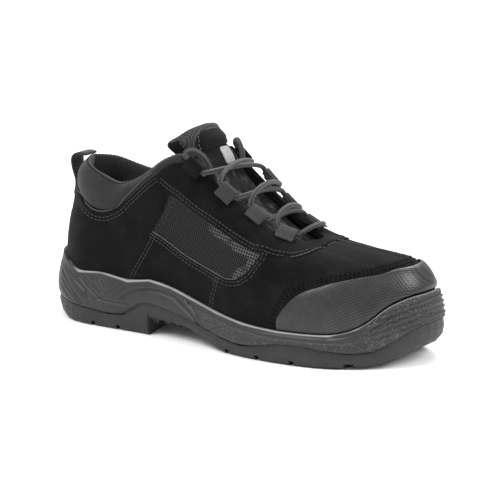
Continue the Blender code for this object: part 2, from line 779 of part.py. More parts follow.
def build_collar(material):
    """Padded ring from one front corner round the heel to the other. The padding thins at its front ends."""
    front = CORNER - 0.004
    arounds = [a - 1.0 for a in shoe_arounds() if a > around_of(MEDIAL, front)]
    arounds += [a for a in shoe_arounds() if a < around_of(LATERAL, front)]
    arounds = [around_of(MEDIAL, front) - 1.0] + arounds + [around_of(LATERAL, front)]
    rings = []
    for around in arounds:
        low = wall_top(around) + GAP / 0.1
        along = side_and_along(around)[1]
        pad = COLLAR_PAD * (COLLAR_END_PAD + (1 - COLLAR_END_PAD) * min(1.0, (front - along) / 0.12))
        # Round the heel's tight curve the padding reaches less far inwards.
        inwards = min(1.0, COLLAR_HEEL_PAD + (1 - COLLAR_HEEL_PAD) * along / HEEL_ROUND)
        rings.append([
            wall_point(around, low + (1.0 - low) * share, pad * (out if out > 0 else out * inwards))
            for share, out in COLLAR_SECTION
        ])
    return skin("collar", rings, material)


def smooth_curve(points, share):
    """A point of the smooth curve through these points, share running from 0 to 1."""
    place = min(max(share, 0.0), 1.0) * (len(points) - 1)
    k = min(int(place), len(points) - 2)
    t = place - k
    before = points[k - 1] if k else 2 * points[0] - points[1]
    after = points[k + 2] if k + 2 < len(points) else 2 * points[-1] - points[-2]
    a, b = points[k], points[k + 1]
    return 0.5 * (
        2 * a + (b - before) * t + (2 * before - 5 * a + 4 * b - after) * t * t
        + (3 * a - before - 3 * b + after) * t ** 3
    )


# Wing of the tongue under the throat's edge: climb on the wall, and depth in shares of the clearance.
TONGUE_WING = ((0.84, 1.3), (0.93, 1.15), (1.0, 1.0))


def tongue_section(along):
    """Points across the tongue's outer face where it lies under the throat."""
    # Its front end is sewn up against the vamp.
    free = min(1.0, (TONGUE[0]["along"] - along) / TONGUE_SEAM)
    under = -(WALL + TONGUE_SEWN + (TONGUE_CLEARANCE - TONGUE_SEWN) * free)
    wings = []
    for side in (LATERAL, MEDIAL):
        around = around_of(side, along)
        wings.append([wall_point(around, climb, under * deeper) for climb, deeper in TONGUE_WING])
    middle = (wings[0][2] + wings[1][2]) / 2
    return wings[0] + [middle] + wings[1][::-1]


# The tongue from its seam under the vamp to its padded top: station in the throat, share of the rise above
# the corner, share of the setback, spread across, spread of the wings' drop, sweep of the sides towards the
# ankle, crown and padding.
TONGUE = table(
    "along rise back spread drop sweep crown pad",
    (0.90, 0.00, 0.00, 1.00, 1.00, 0.00, -0.10, 0.00),
    (0.78, 0.00, 0.00, 1.00, 1.00, 0.00, -0.20, 0.00),
    (0.68, 0.00, 0.00, 0.94, 1.00, 0.00, -0.30, 0.06),
    (0.58, 0.00, 0.00, 0.91, 1.00, 0.00, -0.40, 0.12),
    (0.50, 0.00, 0.00, 0.84, 0.95, 0.10, -0.20, 0.20),
    (0.44, 0.00, 0.00, 0.66, 0.70, 0.40, 0.40, 0.35),
    (0.44, 0.30, 0.30, 0.54, 0.55, 0.80, 0.80, 0.65),
    (0.44, 0.60, 0.60, 0.68, 0.50, 1.10, 1.00, 0.95),
    (0.44, 0.86, 0.85, 0.80, 0.50, 1.20, 1.00, 0.95),
    (0.44, 1.00, 1.00, 0.72, 0.50, 1.10, 0.80, 0.30),
)


TONGUE_ACROSS = (-1.0, -0.8, -0.55, -0.28, 0.0, 0.28, 0.55, 0.8, 1.0)


def tongue_point(row, across, offset=0.0):
    """A point of the tongue's outer face: row along it, across from -1 lateral to 1 medial."""
    k = min(int(row), len(TONGUE) - 2)
    t = row - k
    here = {name: TONGUE[k][name] * (1 - t) + TONGUE[k + 1][name] * t for name in TONGUE[0]}
    section = tongue_section(here["along"])
    middle = section[3].copy()
    section[3].z += here["crown"] * TONGUE_CROWN
    apart = smooth_curve(section, (across + 1) / 2) - middle
    point = middle + Vector((apart.x, apart.y * here["spread"], apart.z * here["drop"]))
    point.z += here["rise"] * TONGUE_RISE
    point.x -= here["back"] * TONGUE_RISE * TONGUE_SETBACK + here["sweep"] * TONGUE_SWEEP * across ** 2
    if offset:
        step = 0.08
        over = tongue_point(row, min(across + step, 1.0)) - tongue_point(row, max(across - step, -1.0))
        last = len(TONGUE) - 1
        up = tongue_point(min(row + step, last), across) - tongue_point(max(row - step, 0), across)
        point += over.cross(up).normalized() * offset
    return point


def build_tongue(material):
    acrosses = TONGUE_ACROSS
    rings = []
    for row in [k / 2 for k in range(2 * len(TONGUE) - 1)]:
        k = min(int(row), len(TONGUE) - 2)
        pad = TONGUE[k]["pad"] * (1 - row + k) + TONGUE[k + 1]["pad"] * (row - k)
        outer = [tongue_point(row, across) for across in acrosses]
        # The foot's side is drawn towards a line under the middle, so that it never folds over itself.
        middle = tongue_point(row, 0.0)
        core = middle + (tongue_point(row, 0.0, -TONGUE_THICK) - middle).normalized() * TONGUE_CORE
        inner = []
        for across, point in zip(acrosses, outer):
            thick = TONGUE_THICK + TONGUE_PAD * pad * (1 - 0.5 * across ** 4)
            if abs(across) == 1.0:
                thick *= TONGUE_EDGE
            inner.append(point + (core - point).normalized() * thick)
        rings.append(outer + inner[::-1])
    return skin("tongue", rings, material)


def build_tongue_patch(material):
    """Suede patch sewn on the tongue's padded top, round at its upper edge."""
    low, high = TONGUE_PATCH_ROWS
    widest = TONGUE_ACROSS[-3]
    rings = []
    for across in [a for a in TONGUE_ACROSS if abs(a) <= widest]:
        top = high - 0.8 * (across / widest) ** 2
        rows = [low + 0.5 * k for k in range(5)] + [top]
        thick = [0.5] + [1.0] * 4 + [0.5]
        if abs(across) == widest:
            thick = [0.5] * 6
        outer = [tongue_point(row, across, 3.5 * GAP + OVERLAY * t) for row, t in zip(rows, thick)]
        inner = [tongue_point(row, across, 3.5 * GAP) for row in rows]
        rings.append(outer + inner[::-1])
    return skin("tongue_patch", rings, material)


def ribbon(name, path, across, thickness, material):
    """A flat strip along a path of (point, out) pairs, half its width each way along the vector across."""
    rings = []
    for point, out in path:
        rings.append([
            point - across + out * thickness / 2,
            point + across + out * thickness / 2,
            point + across - out * thickness / 2,
            point - across - out * thickness / 2,
        ])
    return skin(name, rings, material)


def flat_path(frame, steps):
    """A path in a plane, as (point, out) pairs. Frame is origin, first and second axis."""
    origin, first, second = frame
    points = [origin + first * a + second * b for a, b in steps]
    path = []
    for k, point in enumerate(points):
        heading = points[min(k + 1, len(points) - 1)] - points[max(k - 1, 0)]
        out = heading.cross(first.cross(second)).normalized()
        path.append((point, -out))
    return path


def loop_frame(side, index):
    """Place, direction across the edge, normal and direction along the throat at a lace loop."""
    around = around_of(side, LOOP_ALONG[index])
    step = 0.01
    edge = wall_point(around, 1.0)
    along = (wall_point(around + step, 1.0) - wall_point(around - step, 1.0)).normalized()
    out = (wall_point(around, 1.0, WALL) - edge).normalized()
    up = out.cross(along).normalized()
    if up.z < 0 and up.dot(edge - wall_point(around, 0.9)) < 0:
        up = -up
    out = (out - along * out.dot(along)).normalized()
    return edge, up, out, along


def loop_sizes():
    """Height of the loop's strip over the wall, radius of its fold and how far the fold's centre is set back."""
    bend = (LACE_WIDTH + WEBBING_THICK) / 2 + GAP
    return SUEDE_STEP + OVERLAY + 3 * GAP + WEBBING_THICK / 2, bend, bend


def build_lace_loops(material):
    """Webbing loops: each is sewn down on the eyestay, rises over the lace and folds back under it."""
    seat, bend, back = loop_sizes()
    for side, word in ((LATERAL, "lateral"), (MEDIAL, "medial")):
        for index in range(len(LOOP_ALONG)):
            edge, up, out, along = loop_frame(side, index)
            around = around_of(side, LOOP_ALONG[index])
            sewn = 1.0 - LOOP_LENGTH / column_length(around)
            end = wall_point(around, sewn, seat + GAP) - edge
            low = (end.dot(up), end.dot(out))
            steps = [low, (0.75 * low[0] - 0.25 * back, low[1] + 0.4 * bend)]
            steps.append((0.45 * low[0] - 0.55 * back, 0.45 * low[1] + 0.55 * seat + 1.25 * bend))
            for k in range(7):
                angle = math.pi * k / 6
                steps.append((bend * math.sin(angle) - back, seat + bend + bend * math.cos(angle)))
            steps.append((-1.5 * back, seat))
            path = flat_path((edge, up, out), steps)
            ribbon(f"lace_loop_{word}_{index + 1}", path, along * WEBBING_WIDTH / 2, WEBBING_THICK, material)


def lace_point(side, index, end):
    """Where the lace leaves a loop, and its heading away from it: end is -1 towards the toe, 1 towards the heel."""
    edge, up, out, along = loop_frame(side, index)
    seat, bend, back = loop_sizes()
    away = along if along.x * end < 0 else -along
    reach = WEBBING_WIDTH / 2 + 4 * GAP
    return edge - up * back + out * (seat + bend) + away * reach, (away + out * LACE_LIFT).normalized()


def tube(name, points, material):
    """A round cord through points, made a closed mesh."""
    curve = bpy.data.curves.new(name, "CURVE")
    curve.dimensions = "3D"
    curve.bevel_depth = LACE_WIDTH / 2
    curve.bevel_resolution = 1
    curve.use_fill_caps = True
    spline = curve.splines.new("POLY")
    spline.points.add(len(points) - 1)
    for place, point in zip(spline.points, points):
        place.co = (*point, 1.0)
    guide = bpy.data.objects.new(name, curve)
    collection.objects.link(guide)
    bpy.context.view_layer.update()
    mesh = bpy.data.meshes.new_from_object(guide.evaluated_get(bpy.context.evaluated_depsgraph_get()))
    made = bmesh.new()
    made.from_mesh(mesh)
    bmesh.ops.remove_doubles(made, verts=made.verts, dist=0.00001)
    bmesh.ops.recalc_face_normals(made, faces=made.faces)
    made.to_mesh(mesh)
    made.free()
    bpy.data.objects.remove(guide, do_unlink=True)
    mesh.materials.clear()
    mesh.materials.append(material)
    mesh.shade_smooth()
    cord = bpy.data.objects.new(name, mesh)
    collection.objects.link(cord)
    return cord


def lace_strand(start, start_away, finish, finish_away, lift):
    """Points of one strand, leaving both of its loops along the throat."""
    points = []
    steps = 8
    for k in range(steps + 1):
        t = k / steps
        point = start * ((1 + 2 * t) * (1 - t) ** 2) + finish * (t * t * (3 - 2 * t))
        point += (start_away * (t * (1 - t) ** 2) + finish_away * (t * t * (1 - t))) * 3 * LACE_SWING
        point.z += LACE_WIDTH * LACE_ARCH * math.sin(math.pi * t) + lift * math.sin(math.pi * t) ** 2
        points.append(point)
    return points


def build_lace(material):
    last = len(LOOP_ALONG) - 1
    points = lace_strand(*lace_point(LATERAL, last, -1), *lace_point(MEDIAL, last, -1), 0.0)
    tube("lace_bar", points, material)
    for index in range(last, 0, -1):
        strands = []
        for side, lift in ((MEDIAL, 0.0), (LATERAL, LACE_OVER * LACE_WIDTH)):
            points = lace_strand(*lace_point(side, index, 1), *lace_point(-side, index - 1, -1), lift)
            strands.append(tube(f"lace_cross_{index}" if side == MEDIAL else "over", points, material))
        under, over = strands
        join = under.modifiers.new("joined", "BOOLEAN")
        join.operation = "UNION"
        join.object = over
        cutters.objects.link(over)
        collection.objects.unlink(over)
        over.hide_render = True


def build_pull_loop(material):
    """Fabric loop behind the heel, from the collar's top down to the counter."""
    top = wall_point(0.0, 1.0)
    clear = GAP + PULL_LOOP_THICK / 2
    low = seam("collar", 0.0)
    reach = PULL_LOOP_REACH
    steps = [(0.04 * reach, 0.0), (0.30 * reach, 0.6 * clear), (0.6 * reach, 0.4 * clear)]
    down = []
    for below, apart in ((0.01, 2.2), (0.05, 1.15), (0.09, 1.0), (0.13, 1.0)):
        point = wall_point(0.0, low - below, SUEDE_STEP + apart * clear)
        down.append((top.x - point.x, point.z - top.z))
    drop = -down[0][1]
    steps += [(0.85 * reach, -0.04 * drop), (reach, -0.20 * drop), (0.98 * reach, -0.45 * drop)]
    steps += [((0.98 * reach + down[0][0]) / 2, -0.78 * drop)] + down
    path = flat_path((top, Vector((-1, 0, 0)), Vector((0, 0, 1))), steps)
    ribbon("pull_loop", path, Vector((0, PULL_LOOP_WIDTH / 2, 0)), PULL_LOOP_THICK, material)


def centre_on_origin():
    """Moves every piece by the same amount, so that the bounding box is centred over the origin."""
    pieces = list(collection.objects) + list(cutters.objects)
    points = [v.co for piece in collection.objects for v in piece.data.vertices]
    low = Vector([min(p[k] for p in points) for k in range(3)])
    high = Vector([max(p[k] for p in points) for k in range(3)])
    move = -(low + high) / 2
    move.z = -low.z
    for piece in pieces:
        piece.data.transform(Matrix.Translation(move))


def new_collection(name, parent):
    made = bpy.data.collections.new(name)
    parent.children.link(made)
    return made


remove_startup_objects()
collection = new_collection("safety_sneaker", bpy.context.scene.collection)
cutters = new_collection("cutters", bpy.context.scene.collection)

suede = principled("suede", (0.012, 0.012, 0.013), 0.95)
coated = principled("coated_fabric", (0.030, 0.030, 0.032), 0.50)
textile = principled("textile", (0.035, 0.035, 0.037), 0.85)
sole_foam = principled("sole_foam", (0.040, 0.040, 0.042), 0.55)
cord = principled("cord", (0.045, 0.045, 0.047), 0.80)

build_outsole(sole_foam)
build_midsole(sole_foam)
build_insole(textile)
build_upper(suede)
build_toe_cap(coated)
build_eyestay(suede)
build_collar(textile)
build_tongue(textile)
build_tongue_patch(suede)
build_lace_loops(cord)
build_lace(cord)
build_pull_loop(textile)
centre_on_origin()
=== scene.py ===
import bpy
import bmesh
import math
import numpy as np
from mathutils import Matrix, Vector, noise
from mathutils.bvhtree import BVHTree


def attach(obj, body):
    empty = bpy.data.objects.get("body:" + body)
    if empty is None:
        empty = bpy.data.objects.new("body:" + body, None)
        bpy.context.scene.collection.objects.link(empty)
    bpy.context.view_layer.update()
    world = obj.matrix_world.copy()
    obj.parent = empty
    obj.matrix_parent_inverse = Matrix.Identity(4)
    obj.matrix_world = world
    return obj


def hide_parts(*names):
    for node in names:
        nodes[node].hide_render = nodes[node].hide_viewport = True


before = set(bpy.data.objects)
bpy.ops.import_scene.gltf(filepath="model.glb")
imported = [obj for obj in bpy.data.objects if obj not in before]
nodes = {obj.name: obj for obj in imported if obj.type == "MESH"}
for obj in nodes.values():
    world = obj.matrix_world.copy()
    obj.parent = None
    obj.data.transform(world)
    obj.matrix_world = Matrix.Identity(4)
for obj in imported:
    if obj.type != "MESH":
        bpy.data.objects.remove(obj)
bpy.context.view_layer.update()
mm = 0.001
print("frame loaded:", len(nodes), "nodes")


# camera and light

camera = {
    "azimuth": 33.0, "elevation": 13.8, "distance": 1.934,
    "target": (-0.0002, 0.0008, 0.0484), "lens": 204.9, "shiftX": 0.0152, "shiftY": 0.031,
}
studio = {
    "floorSize": 6.0, "worldStrength": 0.78,
    "lights": (  # name, azimuth, elevation, distance, size, power
        ("keyLight", -25, 52, 1.5, 0.9, 17.0),
        ("toeLight", 95, 38, 1.3, 0.6, 11.0),
        ("backLight", 190, 48, 1.5, 0.8, 12.0),
    ),
}


def lookFrom(name, data, target, azimuth, elevation, distance):
    # a camera or a lamp, set round the target and turned to look at it
    a, e = math.radians(azimuth), math.radians(elevation)
    back = Vector((math.sin(a) * math.cos(e), -math.cos(a) * math.cos(e), math.sin(e)))
    seer = bpy.data.objects.new(name, data)
    turned = back.to_track_quat("Z", "Y").to_matrix().to_4x4()
    seer.matrix_world = Matrix.Translation(Vector(target) + back * distance) @ turned
    bpy.context.scene.collection.objects.link(seer)
    return seer


def makeCamera(settings):
    data = bpy.data.cameras.new("photoCamera")
    data.lens, data.sensor_width = settings["lens"], 36.0
    data.shift_x, data.shift_y = settings["shiftX"], settings["shiftY"]
    data.clip_start, data.clip_end = 0.05, 20.0
    place = (settings[key] for key in ("target", "azimuth", "elevation", "distance"))
    bpy.context.scene.camera = lookFrom("photoCamera", data, *place)


def makeLights(settings):
    world = bpy.data.worlds.new("softRoom")
    world.use_nodes = True
    room = world.node_tree.nodes["Background"].inputs
    room["Color"].default_value, room["Strength"].default_value = (1.0, 1.0, 1.0, 1.0), settings["worldStrength"]
    bpy.context.scene.world = world
    bpy.context.scene.view_settings.view_transform = "Standard"
    for name, azimuth, elevation, distance, size, power in settings["lights"]:
        data = bpy.data.lights.new(name, "AREA")
        data.size, data.energy = size, power
        lookFrom(name, data, (0, 0, 0.06), azimuth, elevation, distance)


makeCamera(camera)
makeLights(studio)
print("camera and lights placed")


# materials: colours as sRGB hex, patterns in real millimetres

def linear(hexColour):
    values = [int(hexColour[k:k + 2], 16) / 255 for k in (1, 3, 5)]
    return tuple(v / 12.92 if v <= 0.04045 else ((v + 0.055) / 1.055) ** 2.4 for v in values) + (1.0,)


def addNode(tree, kind, inputs=(), out=0, stops=(), **settings):
    # one node with its settings: each input, by name or number, takes a link or a plain value
    node = tree.nodes.new("ShaderNode" + kind)
    for name, value in settings.items():
        setattr(node, name, value)
    for key, value in inputs.items() if isinstance(inputs, dict) else enumerate(inputs):
        if isinstance(value, bpy.types.NodeSocket):
            tree.links.new(value, node.inputs[key])
        else:
            node.inputs[key].default_value = value
    for k, (position, colour) in enumerate(stops):
        stop = node.color_ramp.elements[k] if k < 2 else node.color_ramp.elements.new(position)
        stop.position, stop.color = position, linear(colour)
    return node.outputs[out]


def startMaterial(name, roughness, values=()):
    material = bpy.data.materials.new(name)
    material.use_nodes = True
    shader = material.node_tree.nodes["Principled BSDF"]
    for key, value in {"Roughness": roughness, **dict(values)}.items():
        shader.inputs[key].default_value = value
    return material, material.node_tree


def finishMaterial(material, colour, height, depth, strength=0.9, **more):
    # the finished colour and relief are joined to the shader, depth in metres
    tree = material.node_tree
    relief = addNode(tree, "Bump", {"Height": height, "Distance": depth, "Strength": strength, **more})
    for socket, name in ((colour, "Base Color"), (relief, "Normal")):
        tree.links.new(socket, tree.nodes["Principled BSDF"].inputs[name])
    return material


def inMillimetres(tree, scale=(1, 1, 1), turn=(0, 0, 0)):
    # object coordinates in millimetres, stretched and turned (in degrees) for a pattern
    where = addNode(tree, "TexCoord", out="Object")
    turn = [math.radians(angle) for angle in turn]
    return addNode(tree, "Mapping", {"Vector": where, "Scale": [1000 * s for s in scale], "Rotation": turn})


def grained(vector, size, detail=3.0, roughness=0.55):
    # inputs of a noise whose grains are size wide, in the vector's own unit
    return {"Vector": vector, "Scale": 1.0 / size, "Detail": detail, "Roughness": roughness}


def waveAlong(tree, distance, pitch):
    # from -1 to 1 and back once in each pitch
    turns = addNode(tree, "Math", (distance, 2 * math.pi / pitch), operation="MULTIPLY")
    return addNode(tree, "Math", (turns,), operation="SINE")


def ribs(tree, distance, pitch):
    return addNode(tree, "Math", (waveAlong(tree, distance, pitch), 0.5, 0.5), operation="MULTIPLY_ADD")


def weave(tree, vector, pitch, climb=None):
    # height of a plain weave, from 0 to 1: threads pitch apart along the vector's first two axes,
    # or along its first axis and a climb up a rounded surface
    axes = [addNode(tree, "SeparateXYZ", (vector,), k) for k in (0, 1)]
    waves = [waveAlong(tree, axis, 2 * pitch) for axis in (axes[0], climb or axes[1])]
    crossed = addNode(tree, "Math", waves, operation="MULTIPLY")
    return addNode(tree, "Math", (crossed, 0.5, 0.5), operation="MULTIPLY_ADD")


def blended(tree, *parts):
    # the sum of several patterns, each with its own weight
    total = 0.0
    for pattern, weight in parts:
        total = addNode(tree, "Math", (pattern, weight, total), operation="MULTIPLY_ADD")
    return total


def layered(tree, under, *layers):
    # finishes laid over one another, each by its share of the surface
    for share, over in layers:
        under = addNode(tree, "Mix", {0: share, 6: under, 7: over}, 2, data_type="RGBA")
    return under


def fadeFrom(tree, distance, slope, start):
    # from 0 to 1 (or back, with a negative slope) as a distance passes start, the slope for each millimetre
    inputs = (distance, slope, -slope * start)
    return addNode(tree, "Math", inputs, operation="MULTIPLY_ADD", use_clamp=True)


suedeShine = {"Sheen Weight": 0.05, "Sheen Roughness": 0.5, "Specular IOR Level": 0.09}


def suedeFinish(tree, vector):
    # split leather buffed to a nap: the tone drifts with the nap's lie over a centimetre or so,
    # with short fibres under it, drawn at 0.8 mm because the real ones are too fine to show
    drift = addNode(tree, "TexNoise", grained(vector, 16.0, 4.0, 0.6))
    fibres = addNode(tree, "TexNoise", grained(vector, 0.8, 3.0, 0.75))
    both = blended(tree, (drift, 0.5), (fibres, 0.5))
    return addNode(tree, "ValToRGB", (both,), stops=((0.36, "#030303"), (0.5, "#080808"), (0.64, "#141415"))), fibres


def makeSuede():
    # dark napped leather: almost no shine, only a faint sheen along its edges
    material, tree = startMaterial("nappedSuede", 0.95, suedeShine)
    colour, fibres = suedeFinish(tree, inMillimetres(tree))
    return finishMaterial(material, colour, fibres, 0.00022)


def makeUpperShell():
    # one wall of several stuffs: suede panels, the woven side window and a knitted lining, told apart by
    # distances that the mesh carries, in millimetres
    material, tree = startMaterial("upperShell", 0.92, suedeShine)
    vector = inMillimetres(tree)
    colour, fibres = suedeFinish(tree, vector)
    window, bright, edge, lining = (
        addNode(tree, "Attribute", out="Fac", attribute_name=name)
        for name in ("window", "brightStrip", "panelEdge", "lining"))
    inside = fadeFrom(tree, window, 2.0, -0.25)
    flat = inMillimetres(tree, turn=(90, 0, 35))
    threads = weave(tree, flat, 1.05)  # drawn a little coarser than the real 0.8 mm thread
    checks = weave(tree, flat, 1.45)
    grey = addNode(tree, "ValToRGB", (threads,), stops=((0.1, "#050505"), (0.5, "#151516"), (0.95, "#383839")))
    pale = addNode(tree, "ValToRGB", (checks,), stops=((0.35, "#0f0f0f"), (0.62, "#505051")))
    strip = addNode(tree, "Math", (bright, addNode(tree, "TexNoise", grained(vector, 7.0))), operation="MULTIPLY")
    cloth = layered(tree, grey, (fadeFrom(tree, strip, 4.0, 0.28), pale))
    edge = blended(tree, (fadeFrom(tree, edge, -1.4, 1 / 1.4), 0.85))  # painted shade: a panel's cut edge is painted dark where one panel laps over the next
    knit = weave(tree, inMillimetres(tree, turn=(90, 0, 45)), 1.6)
    knitColour = addNode(tree, "ValToRGB", (knit,), stops=((0.2, "#050505"), (0.8, "#161617")))
    colour = layered(tree, colour, (inside, cloth), (edge, linear("#0a0a0a")), (lining, knitColour))
    raised = layered(tree, fibres, (inside, blended(tree, (threads, 1.6))), (lining, knit))
    return finishMaterial(material, colour, raised, 0.00028)


def makeCoatedFabric():
    # scuff cap: nylon weave under a clear rubbery coat, so a fine square grain with a soft satin shine
    material, tree = startMaterial("coatedToeFabric", 0.35, {"Specular IOR Level": 0.4})
    vector = inMillimetres(tree, turn=(0, 0, 12))
    across, up = (addNode(tree, "SeparateXYZ", (vector,), k) for k in (1, 2))
    climb = blended(tree, (across, 0.45), (up, 1.0))
    grid = weave(tree, vector, 1.1, climb)  # the real grain is about 0.6 mm, too fine to show
    mixed = blended(tree, (grid, 0.55), (addNode(tree, "TexNoise", grained(vector, 9.0)), 0.45))
    colour = addNode(tree, "ValToRGB", (mixed,), stops=((0.25, "#111112"), (0.5, "#202021"), (0.8, "#363638")))
    return finishMaterial(material, colour, grid, 0.00012, 0.8)


def makeRibbedTextile(name, pitch, dark, light, depth=0.0003, spacer=False):
    # corded knit or webbing: ribs pitch apart, counted along a distance that the mesh carries
    shine = {"Sheen Weight": 0.15, "Sheen Roughness": 0.5, "Specular IOR Level": 0.3}
    material, tree = startMaterial(name, 0.88, shine)
    rib = ribs(tree, addNode(tree, "Attribute", out="Fac", attribute_name="rib"), pitch)
    vector = inMillimetres(tree)
    fuzz = addNode(tree, "TexNoise", grained(vector, 0.6, 3.0, 0.7))
    drift = addNode(tree, "TexNoise", grained(vector, 11.0))
    tone = blended(tree, (rib, 0.4), (fuzz, 0.3), (drift, 0.3))
    colour = addNode(tree, "ValToRGB", (tone,), stops=((0.3, dark), (0.72, light)))
    height = blended(tree, (rib, 1.0), (fuzz, 0.5))
    if spacer:
        # open spacer knit on the foot's side: round holes about 1.9 mm apart, painted dark as the shade inside them
        inner = addNode(tree, "Attribute", out="Fac", attribute_name="inner")
        cells = addNode(tree, "TexVoronoi", {"Vector": vector, "Scale": 1 / 1.9, "Randomness": 0.25})
        holes = fadeFrom(tree, cells, 5.0, 0.22)
        mesh = addNode(tree, "ValToRGB", (holes,), stops=((0.1, "#040404"), (0.9, "#1d1d1e")))
        colour, height = layered(tree, colour, (inner, mesh)), layered(tree, height, (inner, holes))
    return finishMaterial(material, colour, height, depth)


def makeTongueCloth():
    # soft knitted tongue over foam: fine loops, with paler worn patches on its folds
    shine = {"Sheen Weight": 0.06, "Sheen Roughness": 0.5, "Specular IOR Level": 0.15}
    material, tree = startMaterial("tongueCloth", 0.93, shine)
    vector = inMillimetres(tree)
    patches = addNode(tree, "TexNoise", grained(inMillimetres(tree, (0.5, 1, 0.6)), 7.0, 2.0))
    fuzz = addNode(tree, "TexNoise", grained(vector, 0.5, 2.0, 0.7))
    tone = blended(tree, (patches, 0.7), (fuzz, 0.3))
    colour = addNode(tree, "ValToRGB", (tone,), stops=((0.38, "#0a0a0a"), (0.52, "#1c1c1d"), (0.66, "#565657")))
    # the binding round the top: knitted loops with a faint cord
    facing = addNode(tree, "Attribute", out="Fac", attribute_name="facing")
    loops = weave(tree, inMillimetres(tree, turn=(0, 0, 45)), 1.1)
    bound = blended(tree, (ribs(tree, facing, 1.1), 0.15), (loops, 0.85))
    binding = addNode(tree, "ValToRGB", (bound,), stops=((0.1, "#151516"), (0.9, "#464648")))
    top = fadeFrom(tree, addNode(tree, "SeparateXYZ", (vector,), 2), 0.4, 116.0)
    suede, fibres = suedeFinish(tree, vector)
    sewn = fadeFrom(tree, facing, 3.0, 0.0)
    colour = layered(tree, colour, (top, binding), (sewn, suede))
    nap = addNode(tree, "Math", (fibres, 2.0), operation="ADD")
    raised = layered(tree, blended(tree, (loops, 1.0), (fuzz, 1.0)), (sewn, nap))
    return finishMaterial(material, colour, raised, 0.0002, 0.8)


def makeSoleFoam():
    # injection-moulded polyurethane: an even satin grey, its pebbled zones cut into the mould
    material, tree = startMaterial("mouldedMidsole", 0.5, {"Specular IOR Level": 0.42})
    vector = inMillimetres(tree)
    pebble, groove, rim = (
        addNode(tree, "Attribute", out="Fac", attribute_name=name) for name in ("pebble", "groove", "paintedTopHighlight"))
    drift = addNode(tree, "TexNoise", grained(vector, 20.0))
    fine = addNode(tree, "TexNoise", grained(vector, 0.9, 3.0, 0.6))
    base = addNode(tree, "ValToRGB", (drift,), stops=((0.35, "#1d1d1e"), (0.65, "#262627")))
    # painted highlight: pale specks stand for glints off the pebbled grain
    paintedGlints = addNode(tree, "Math", (fine, 0.61), operation="GREATER_THAN")
    paintedGlints = addNode(tree, "Math", (blended(tree, (paintedGlints, 0.85)), pebble), operation="MULTIPLY")
    # painted shade: the grooves and the valleys between the toe ribs are painted dark
    cut = blended(tree, (fadeFrom(tree, groove, -1.6, 1 / 1.6), 0.5))
    # painted highlight where light catches the knife-trimmed top edge, the upward-facing top of the toe bumper and
    # the shoulders of the grooves
    shoulder = addNode(tree, "Math", (groove, 1.3), operation="SUBTRACT")
    shoulder = addNode(tree, "Math", (shoulder,), operation="ABSOLUTE")
    paintedHighlight = blended(tree, (fadeFrom(tree, shoulder, -1.8, 1 / 1.8), 0.035), (rim, 0.7))
    colour = layered(tree, base, (paintedGlints, linear("#6e6e70")), (cut, linear("#0c0c0c")), (paintedHighlight, linear("#a0a0a2")))
    cells = addNode(tree, "TexVoronoi", {"Vector": vector, "Scale": 1 / 1.15})
    grain = blended(tree, (fadeFrom(tree, cells, -1.0, 1.0), 1.0), (fine, 1.0))
    height = addNode(tree, "Math", (grain, pebble), operation="MULTIPLY")
    skin = addNode(tree, "TexNoise", grained(vector, 0.7))
    skin = addNode(tree, "Bump", {"Height": skin, "Distance": 0.00005, "Strength": 0.5})
    return finishMaterial(material, colour, height, 0.0005, 1.0, Normal=skin)


def makeTreadRubber():
    # harder skin of the same moulding: slightly darker, with faint flow marks
    material, tree = startMaterial("treadRubber", 0.55, {"Specular IOR Level": 0.4})
    vector = inMillimetres(tree)
    flow = addNode(tree, "TexNoise", grained(vector, 14.0, 4.0))
    colour = addNode(tree, "ValToRGB", (flow,), stops=((0.35, "#1e1e1f"), (0.65, "#272728")))
    return finishMaterial(material, colour, addNode(tree, "TexNoise", grained(vector, 0.9, 3.0, 0.6)), 0.0003, 0.8)


def makeLaceBraid():
    # braided polyester over a core: strands cross in a herringbone about 1.5 mm long
    material, tree = startMaterial("laceBraid", 0.72, {"Sheen Weight": 0.2, "Specular IOR Level": 0.35})
    run = addNode(tree, "UVMap", uv_map="run")
    along, turn = (addNode(tree, "SeparateXYZ", (run,), k) for k in (0, 1))
    leans = []
    for sign in (1, -1):
        # six strands to the turn, so 9 mm of slant
        leans.append(waveAlong(tree, blended(tree, (along, 1.0), (turn, sign * 9.0)), 1.5))
    braid = addNode(tree, "Math", leans, operation="MAXIMUM")
    braid = addNode(tree, "Math", (braid, 0.5, 0.5), operation="MULTIPLY_ADD")
    tone = blended(tree, (braid, 0.4), (ribs(tree, turn, 0.25), 0.6))
    colour = addNode(tree, "ValToRGB", (tone,), stops=((0.25, "#060606"), (0.55, "#1c1c1d"), (0.85, "#3c3c3d")))
    return finishMaterial(material, colour, braid, 0.00022)


def makePlain(name, dark, light, roughness, grain, depth, values=()):
    # one even stuff with a slight mottle: thread, the painted shade of needle holes, label tape, footbed felt and the
    # floor
    material, tree = startMaterial(name, roughness, values)
    vector = inMillimetres(tree)
    mottle = addNode(tree, "TexNoise", grained(vector, grain * 6))
    colour = addNode(tree, "ValToRGB", (mottle,), stops=((0.35, dark), (0.65, light)))
    return finishMaterial(material, colour, addNode(tree, "TexNoise", grained(vector, grain, 3.0, 0.65)), depth, 0.7)


